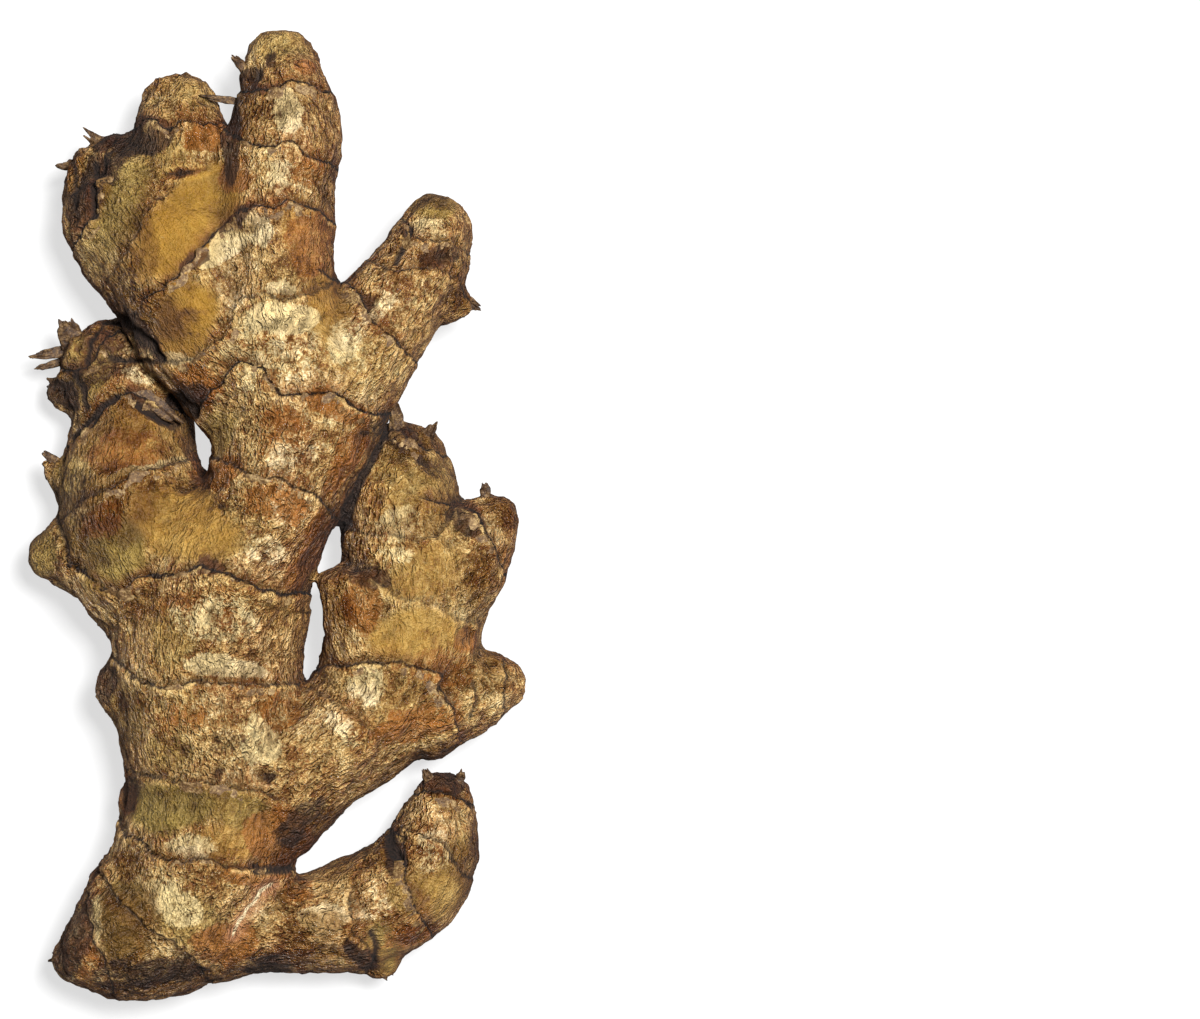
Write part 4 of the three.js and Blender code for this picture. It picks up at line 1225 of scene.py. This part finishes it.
class Signal:
    """A socket of a node tree, on which arithmetic adds Math nodes."""

    def __init__(self, graph: "Graph", socket: bpy.types.NodeSocket) -> None:
        """Wraps an output socket."""
        self.graph = graph
        self.socket = socket

    def math(self, operation: str, *operands: "Operand") -> "Signal":
        """A Math node on this value and the operands."""
        values = dict(enumerate((self, *operands)))
        return self.graph.node("ShaderNodeMath", {"operation": operation}, values)

    def __add__(self, other: "Operand") -> "Signal":
        """The sum."""
        return self.math("ADD", other)

    def __sub__(self, other: "Operand") -> "Signal":
        """The difference."""
        return self.math("SUBTRACT", other)

    def __rsub__(self, other: float) -> "Signal":
        """A number less this."""
        return self.graph.node("ShaderNodeMath", {"operation": "SUBTRACT"}, {0: other, 1: self})

    def __mul__(self, other: "Operand") -> "Signal":
        """The product."""
        return self.math("MULTIPLY", other)

    def __truediv__(self, other: "Operand") -> "Signal":
        """The quotient."""
        return self.math("DIVIDE", other)

    def __abs__(self) -> "Signal":
        """The size without its sign."""
        return self.math("ABSOLUTE")

    __radd__ = __add__
    __rmul__ = __mul__

    def least(self, other: "Operand") -> "Signal":
        """The smaller of the two."""
        return self.math("MINIMUM", other)

    def most(self, other: "Operand") -> "Signal":
        """The larger of the two."""
        return self.math("MAXIMUM", other)

    def between(self, start: float, end: float, low: float = 0.0, high: float = 1.0) -> "Signal":
        """Rises smoothly from low to high as this goes from start to end."""
        values = {0: self, 1: start, 2: end, 3: low, 4: high}
        settings = {"interpolation_type": "SMOOTHSTEP"}
        return self.graph.node("ShaderNodeMapRange", settings, values)

    def bell(self, centre: float, width: float) -> "Signal":
        """Is 1 at the centre and falls to 0 at a width from it."""
        return abs(self - centre).between(0.0, width, 1.0, 0.0)


Operand = Signal | float | Colour


@dataclass(frozen=True)
class NoiseField:
    """A field of noise: the size of its steps in millimetres, and how it is broken up."""

    size: float | tuple[float, float, float]
    detail: float = 2.0
    rough: float = 0.55
    warp: float = 0.0
    shift: float = 0.0  # moves the pattern, so that two fields differ


class Graph:
    """A material's node tree, made by one method."""

    def __init__(self, name: str) -> None:
        """Starts a material whose shader is not linked yet."""
        self.material = bpy.data.materials.new(name)
        self.material.use_nodes = True
        self.tree = self.material.node_tree
        self.tree.nodes.clear()

    def node(
        self,
        kind: str,
        settings: dict[str, Any] | None = None,
        sockets: dict[int | str, Operand] | None = None,
        out: int | str = 0,
    ) -> Signal:
        """Adds a node.

        Args:
            kind: the node's type.
            settings: its settings, set first; stops are a colour ramp's.
            sockets: the values or the links of its sockets.
            out: which of its outputs is wanted.

        Returns:
            The output.
        """
        node = self.tree.nodes.new(kind)
        for key, value in (settings or {}).items():
            if key == "stops":
                self.set_stops(node.color_ramp, value)
            else:
                setattr(node, key, value)
        for key, value in (sockets or {}).items():
            if isinstance(value, Signal):
                self.tree.links.new(value.socket, node.inputs[key])
            else:
                node.inputs[key].default_value = value
        return Signal(self, node.outputs[out] if node.outputs else None)

    @staticmethod
    def set_stops(ramp: bpy.types.ColorRamp, stops: Sequence[tuple[float, Colour]]) -> None:
        """Gives a colour ramp its stops."""
        while len(ramp.elements) < len(stops):
            ramp.elements.new(1.0)
        for element, (position, colour) in zip(ramp.elements, stops):
            element.position = position
            element.color = (*colour, 1.0)

    def attribute(self, name: str) -> Signal:
        """A number kept at each vertex."""
        return self.node("ShaderNodeAttribute", {"attribute_name": name}, out="Fac")

    def vector(self, name: str) -> Signal:
        """A vector kept at each vertex."""
        return self.node("ShaderNodeAttribute", {"attribute_name": name}, out="Vector")

    def place(self) -> Signal:
        """The place on the object, metres."""
        return self.node("ShaderNodeTexCoord", out="Object")

    def noise(self, vector: Signal, field: "NoiseField") -> Signal:
        """Noise of about 0 to 1 over a vector in metres."""
        sizes = (field.size,) * 3 if isinstance(field.size, float) else field.size
        scale = tuple(1.0 / (size * MM) for size in sizes)
        values = {"Vector": vector, "Location": (field.shift,) * 3, "Scale": scale}
        steps = self.node("ShaderNodeMapping", {"vector_type": "POINT"}, values)
        look = {"Detail": field.detail, "Roughness": field.rough, "Distortion": field.warp}
        values = {"Vector": steps, "Scale": 1.0, **look}
        return self.node("ShaderNodeTexNoise", {"noise_dimensions": "3D"}, values)

    def mix(self, share: Operand, low: Operand, high: Operand, kind: str = "MIX") -> Signal:
        """Mixes two colours."""
        settings = {"data_type": "RGBA", "blend_type": kind, "clamp_factor": True}
        colours = [c if isinstance(c, Signal) else (*c, 1.0) for c in (low, high)]
        return self.node("ShaderNodeMix", settings, {0: share, 6: colours[0], 7: colours[1]}, 2)

    def blend(self, share: Signal, low: Signal, high: Signal) -> Signal:
        """A number part of the way from one to another."""
        return low + (high - low) * share

    def ramp(self, value: Signal, stops: Sequence[tuple[float, Colour]]) -> Signal:
        """The colour of a ramp at a value."""
        return self.node("ShaderNodeValToRGB", {"stops": stops}, {"Fac": value})

    def tinted(self, colour: Signal, tint: Colour, amount: Signal) -> Signal:
        """A colour multiplied by a tint and by a number."""
        parts = {i: amount * part for i, part in enumerate(tint)}
        return self.mix(1.0, colour, self.node("ShaderNodeCombineColor", None, parts), "MULTIPLY")

    def multiplied(self, share: Signal, colour: Signal, tint: Colour) -> Signal:
        """A colour multiplied by a tint, in part."""
        return self.mix(share, colour, tint, "MULTIPLY")

    def bump(self, height: Signal, distance: float) -> Signal:
        """A surface normal from a height, whose full step is the distance in millimetres."""
        values = {"Height": height, "Distance": distance * MM, "Strength": 1.0}
        return self.node("ShaderNodeBump", None, values)

    def surface(self, sockets: dict[str, Operand]) -> bpy.types.Material:
        """Ends the tree in a plain surface shader and returns the material."""
        shader = self.node("ShaderNodeBsdfPrincipled", None, sockets)
        self.node("ShaderNodeOutputMaterial", None, {"Surface": shader})
        return self.material


@dataclass(frozen=True)
class SkinFinish:
    """The finish of the root's skin: wrinkled paper, stains, dark node lines and a crack, with painted
    shade on its sides, in its hollows and folds, and a painted highlight on its crowns and ridges.
    """

    paper_stops: tuple[tuple[float, Colour], ...] = (
        (0.08, paint(70, 42, 26)),
        (0.30, paint(124, 87, 56)),
        (0.50, paint(170, 137, 96)),
        (0.70, paint(207, 180, 138)),
        (0.92, paint(244, 229, 200)),
    )
    gold_stops: tuple[tuple[float, Colour], ...] = (
        (0.15, paint(106, 72, 22)),
        (0.50, paint(158, 120, 40)),
        (0.85, paint(194, 160, 80)),
    )
    olive_stops: tuple[tuple[float, Colour], ...] = (
        (0.15, paint(80, 61, 28)),
        (0.50, paint(130, 113, 56)),
        (0.85, paint(182, 162, 98)),
    )
    umber: Colour = paint(64, 39, 22)
    russet: Colour = paint(146, 94, 48)
    rust: Colour = paint(126, 78, 48)
    cream: Colour = paint(240, 226, 194)
    ink: Colour = paint(38, 22, 13)
    torn_edge: Colour = paint(216, 190, 146)
    crack_rim: Colour = paint(190, 134, 96)
    crack_flesh: Colour = paint(236, 214, 170)
    speck: Colour = paint(62, 40, 28)
    warmth: Colour = (0.90, 0.81, 0.56)
    # Brown stain, and in places painted shade.
    brown_stain_and_shade: Colour = (0.40, 0.31, 0.215)
    # Paler skin, and a painted highlight on the crowns.
    paling_and_sheen: Colour = (1.38, 1.44, 1.76)
    # Painted shade: the steep sides darker and redder, and their outermost edges darker still.
    flank_shade_tint: Colour = (0.66, 0.48, 0.29)
    rim_shade_tint: Colour = (0.58, 0.50, 0.44)
    # Painted shade in the wide valleys.
    crease_shade_tint: Colour = (0.26, 0.18, 0.12)
    plain_thread: NoiseField = NoiseField(0.42, 2.0, 0.6, 0.5, 9.0)
    long_thread: NoiseField = NoiseField((0.32, 0.32, 0.85), 2.0, 0.6, 0.5)
    dapple: NoiseField = NoiseField(0.50, 3.0, 0.65)
    mottle: NoiseField = NoiseField(3.6, 5.0, 0.62, 0.4)
    cloud: NoiseField = NoiseField(13.0, 2.0, 0.5, 0.0, 5.0)
    wander: NoiseField = NoiseField(1.5, 3.0, 0.6, 0.0, 7.0)
    plain_net: NoiseField = NoiseField(1.5, 2.0, 0.55, 0.6, 2.0)
    long_net: NoiseField = NoiseField((1.2, 1.2, 2.0), 2.0, 0.55, 0.6, 2.0)
    grit: NoiseField = NoiseField(0.27, 1.0, 0.5, 0.0, 4.0)
    bump: float = 0.74  # full depth of the fine relief, millimetres
    cover: dict[str, float] = field(  # how strongly each mark covers the skin
        default_factory=lambda: {
            "gold": 0.98, "olive": 0.94, "russet": 0.80, "cream": 0.62, "umber": 0.88,
            "band": 1.1, "torn edge": 0.85, "line": 1.25, "groove": 0.9, "crack rim": 0.6,
        }
    )

    def build(self) -> bpy.types.Material:
        """Makes the material."""
        graph = Graph("ginger_skin")
        cover = self.cover
        place = graph.place()
        grain = graph.vector("grain")
        gold = graph.attribute(Tone.GOLD.value)
        olive = graph.attribute(Tone.OLIVE.value)
        smooth = (gold + olive * 0.7).least(1.0)
        near = graph.attribute("line_near")
        beyond = graph.attribute("line_side") / near.most(0.001)
        ink = graph.attribute("line_ink")
        hollow = graph.attribute("hollow")
        crease = graph.attribute("crease")

        seam = graph.attribute("seam")
        plain_thread = graph.noise(place, self.plain_thread)
        thread = graph.blend(seam, graph.noise(grain, self.long_thread), plain_thread)
        dapple = graph.noise(place, self.dapple)
        mottle = graph.noise(place, self.mottle)
        cloud = graph.noise(place, self.cloud)
        wander = graph.noise(place, self.wander)
        plain_net = graph.noise(place, self.plain_net)
        net_seed = graph.blend(seam, graph.noise(grain, self.long_net), plain_net)
        net = (1.0 - abs(net_seed - 0.5) * 6.5).most(0.0)
        grit = graph.noise(place, self.grit)
        rough_skin = 1.0 - smooth * 0.72

        fleck = (thread - 0.5) * 0.60 + (dapple - 0.5) * 0.52 + (net - 0.5) * 0.24
        fleck = fleck + (grit - 0.5) * 0.85
        stain = (mottle - 0.5) * 0.80 + (cloud - 0.5) * 0.85
        light = fleck * rough_skin + stain * (1.0 - smooth * 0.5) + 0.50
        colour = graph.ramp(light, self.paper_stops)
        rusty = (mottle * 0.40 + wander * 0.22 + dapple * 0.38 - net * 0.03).between(0.475, 0.40)
        colour = graph.mix(rusty * (0.52 - smooth * 0.40), colour, self.rust)
        colour = graph.mix(gold * cover["gold"], colour, graph.ramp(light, self.gold_stops))
        colour = graph.mix(olive * cover["olive"], colour, graph.ramp(light, self.olive_stops))
        torn = (mottle - 0.5) * 1.0 + (wander - 0.5) * 0.6 + (thread - 0.5) * 0.6
        torn = torn + (dapple - 0.5) * 0.9
        russet = (graph.attribute(Tone.RUSSET.value) - torn * 0.8).between(0.12, 0.60)
        colour = graph.mix(russet * cover["russet"], colour, self.russet)
        cream = (graph.attribute(Tone.CREAM.value) + torn).between(0.28, 0.66)
        colour = graph.mix(cream * cover["cream"], colour, self.cream)
        # Umber: dark brown skin, and painted shade in the hollows of the dents and in some gaps.
        umber = (graph.attribute(Tone.UMBER.value) - torn * 0.8).between(0.08, 0.60)
        colour = graph.mix(umber * cover["umber"], colour, self.umber)

        # A brown band past each node line, at the foot of the lap: partly brown skin, partly painted shade
        # under the lap's edge.
        band = near * ink * beyond.bell(1.0, 2.6) * (wander * 1.6 - 0.35).most(0.0)
        colour = graph.mix(band * cover["band"], colour, self.rust)
        specks = (wander * 0.45 + dapple * 0.55 + near * 0.05).between(0.600, 0.650)
        colour = graph.mix(specks * (0.60 - smooth * 0.35), colour, self.speck)
        shifted = beyond + (wander - 0.5) * 1.6
        peeled = (cloud * 0.5 + mottle * 0.5).between(0.50, 0.56)
        torn_edge = near * shifted.bell(-0.50, 0.55) * peeled
        colour = graph.mix(torn_edge * ink * cover["torn edge"], colour, self.torn_edge)
        broken = (wander * 0.5 + mottle * 0.5 + ink * 0.10).between(0.45, 0.56)
        line = near.between(0.2, 0.7) * shifted.bell(0.05, 0.42) * broken
        colour = graph.mix(line * ink * cover["line"], colour, self.ink)

        uneven = (mottle - 0.5) * 0.9 + (wander - 0.5) * 0.5
        # Brown stain, and in places painted shade on edges and between parts.
        brown_and_shade = (graph.attribute(Tone.BROWN_AND_SHADE.value) * 1.1 - uneven).between(0.05, 1.0)
        colour = graph.multiplied(brown_and_shade, colour, self.brown_stain_and_shade)
        # Paler skin, and a painted highlight on the crowns.
        pale_and_sheen = (graph.attribute(Tone.PALE_AND_SHEEN.value) + uneven).between(0.1, 0.9)
        colour = graph.multiplied(pale_and_sheen, colour, self.paling_and_sheen)
        # Painted shade on the steep sides and the underside, darkest at the outermost edges, less where
        # the skin is already dark.
        flank = graph.attribute("flank")
        colour = graph.multiplied(flank * 0.85, colour, self.flank_shade_tint)
        rim = flank * flank * flank * (0.9 - umber.most(brown_and_shade) * 0.7)
        colour = graph.multiplied(rim, colour, self.rim_shade_tint)
        # Painted shade in the wide valleys, then in the fine hollows; the fine and wide ridges are
        # lightened as a painted highlight.
        colour = graph.multiplied(crease.most(0.0), colour, self.crease_shade_tint)
        shade = (1.0 - hollow * 0.30 - crease.least(0.0) * 0.22).most(0.25)
        colour = graph.tinted(colour, self.warmth, shade)

        # Painted shade in the folds between parts.
        groove = (graph.attribute("groove") + (dapple - 0.5) * 0.5).between(0.25, 0.75)
        colour = graph.mix(groove * cover["groove"], colour, self.ink)
        crack = graph.attribute("crack_near")
        colour = graph.mix(crack.between(0.25, 0.9) * cover["crack rim"], colour, self.crack_rim)
        colour = graph.mix(crack.between(0.88, 0.96), colour, self.crack_flesh)

        dull = smooth * 0.34 + umber * 0.25 + line * 0.2 + rusty * 0.10 + groove * 0.4
        dull = dull + flank * 0.45
        roughness = dull + 0.20 + (mottle - 0.5) * 0.5 - pale_and_sheen * 0.05
        height = (thread - 0.5) * rough_skin * 0.62 + (net - 0.5) * rough_skin * 0.95
        height = height + (dapple - 0.5) * 0.60 + (grit - 0.5) * 0.42 - line * 0.4 - specks * 0.10
        sockets = {
            "Base Color": colour,
            "Roughness": roughness.most(0.19).least(0.95),
            "Specular IOR Level": 0.5,
            "Normal": graph.bump(height, self.bump),
        }
        return graph.surface(sockets)


@dataclass(frozen=True)
class PaperFinish:
    """The finish of a loose papery scale or of a torn edge."""

    name: str
    dark: Colour
    middle: Colour
    light: Colour
    roughness: float = 0.55
    coarse: NoiseField = NoiseField(1.7, 4.0, 0.6, 0.6)
    fine: NoiseField = NoiseField(0.42, 3.0, 0.65, 0.0, 3.0)
    bump: float = 0.45  # full depth of the fine relief, millimetres

    def build(self) -> bpy.types.Material:
        """Makes the material."""
        graph = Graph(self.name)
        place = graph.place()
        coarse = graph.noise(place, self.coarse)
        fine = graph.noise(place, self.fine)
        stops = ((0.36, self.dark), (0.50, self.middle), (0.64, self.light))
        colour = graph.ramp(coarse * 0.5 + fine * 0.5, stops)
        sockets = {
            "Base Color": colour,
            "Roughness": (self.roughness + (fine - 0.5) * 0.3).most(0.25),
            "Normal": graph.bump(fine * 0.6 + coarse * 0.4, self.bump),
        }
        return graph.surface(sockets)


@dataclass(frozen=True)
class FloorFinish:
    """The plain pale surface under the root."""

    tint: Colour = (0.26, 0.26, 0.26)
    glow: Colour = (0.68, 0.68, 0.68)
    roughness: float = 0.9

    def build(self) -> bpy.types.Material:
        """Makes the material."""
        graph = Graph("pale_floor")
        sockets = {
            "Base Color": (*self.tint, 1.0),
            "Roughness": self.roughness,
            "Specular IOR Level": 0.1,
            "Emission Color": (*self.glow, 1.0),
            "Emission Strength": 1.0,
        }
        return graph.surface(sockets)


EDGE_PAPER = PaperFinish("edge_paper", paint(58, 37, 22), paint(114, 84, 47), paint(188, 158, 108))
SCALE_PAPER = PaperFinish("scale_paper", paint(34, 22, 14), paint(80, 56, 34), paint(146, 116, 76))


@dataclass
class Studio:
    """The pale floor, the soft lights and the camera over them."""

    floor_size: float = 3.0
    view_centre: Point2 = (0.0542, 0.0011)
    view_width: float = 0.200
    view_height: float = 0.016
    lens: float = 150.0
    sensor: float = 36.0
    far_clip: float = 10.0
    floor_drop: float = 0.0002  # keeps the floor clear of the flats on the underside
    lamp_place: tuple[float, float, float] = (0.31, 0.20, 1.16)
    lamp_size: float = 0.26
    lamp_power: float = 25.5
    surroundings: float = 0.07  # strength of the pale light from all round

    def build(self) -> None:
        """Makes everything that isn't the object."""
        self.floor()
        self.sky()
        self.lamp()
        self.camera()

    def floor(self) -> None:
        """Lays the floor just under the root."""
        work = bmesh.new()
        bmesh.ops.create_grid(work, x_segments=1, y_segments=1, size=self.floor_size / 2.0)
        mesh = bpy.data.meshes.new("floor")
        work.to_mesh(mesh)
        work.free()
        mesh.transform(Matrix.Translation((0.0, 0.0, -self.floor_drop)))
        floor = put_in_scene("floor", mesh)
        floor.visible_glossy = False  # the gloss of the root's sides shows the room instead
        mesh.materials.append(FloorFinish().build())

    def sky(self) -> None:
        """Sets the pale surroundings, and plain colours without a film look."""
        world = bpy.data.worlds.new("surroundings")
        world.use_nodes = True
        background = world.node_tree.nodes["Background"]
        background.inputs["Color"].default_value = (1.0, 1.0, 1.0, 1.0)
        background.inputs["Strength"].default_value = self.surroundings
        bpy.context.scene.world = world
        bpy.context.scene.view_settings.view_transform = "Standard"

    def lamp(self) -> None:
        """Hangs the square soft light, which faces the root."""
        data = bpy.data.lights.new("overhead_light", "AREA")
        data.size = self.lamp_size
        data.energy = self.lamp_power
        lamp = put_in_scene("overhead_light", data)
        lamp.location = self.lamp_place
        lamp.rotation_euler = (-Vector(self.lamp_place)).to_track_quat("-Z", "Y").to_euler()

    def camera(self) -> None:
        """Looks straight down from high above, with the root's top end upwards."""
        data = bpy.data.cameras.new("camera")
        data.lens = self.lens
        data.sensor_width = self.sensor
        data.clip_end = self.far_clip
        away = self.view_width * self.lens / self.sensor
        camera = put_in_scene("camera", data)
        camera.location = (*self.view_centre, self.view_height + away)
        bpy.context.scene.camera = camera


def hand_in(piece: bpy.types.Object, material: bpy.types.Material) -> None:
    """Gives a piece its finish, its body and its slot, and reports it."""
    piece.data.materials.append(material)
    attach(piece, BODY)
    LOG.info("%s: %d faces", piece.name, len(piece.data.polygons))


def main() -> None:
    """Builds the root's skin, its papery edges and scales, and the studio."""
    logging.basicConfig(level=logging.INFO, format="%(name)s: %(message)s")
    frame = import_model()
    Studio().build()
    skin = GingerSkin().build(frame["nodes"][NODE])
    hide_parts(NODE)
    hand_in(skin, SkinFinish().build())
    edge_paper = EDGE_PAPER.build()
    for piece in PaperyEdges(skin).build():
        hand_in(piece, edge_paper)
    scale_paper = SCALE_PAPER.build()
    for piece in PaperyScales().build():
        hand_in(piece, scale_paper)


if __name__ == "__main__":
    main()
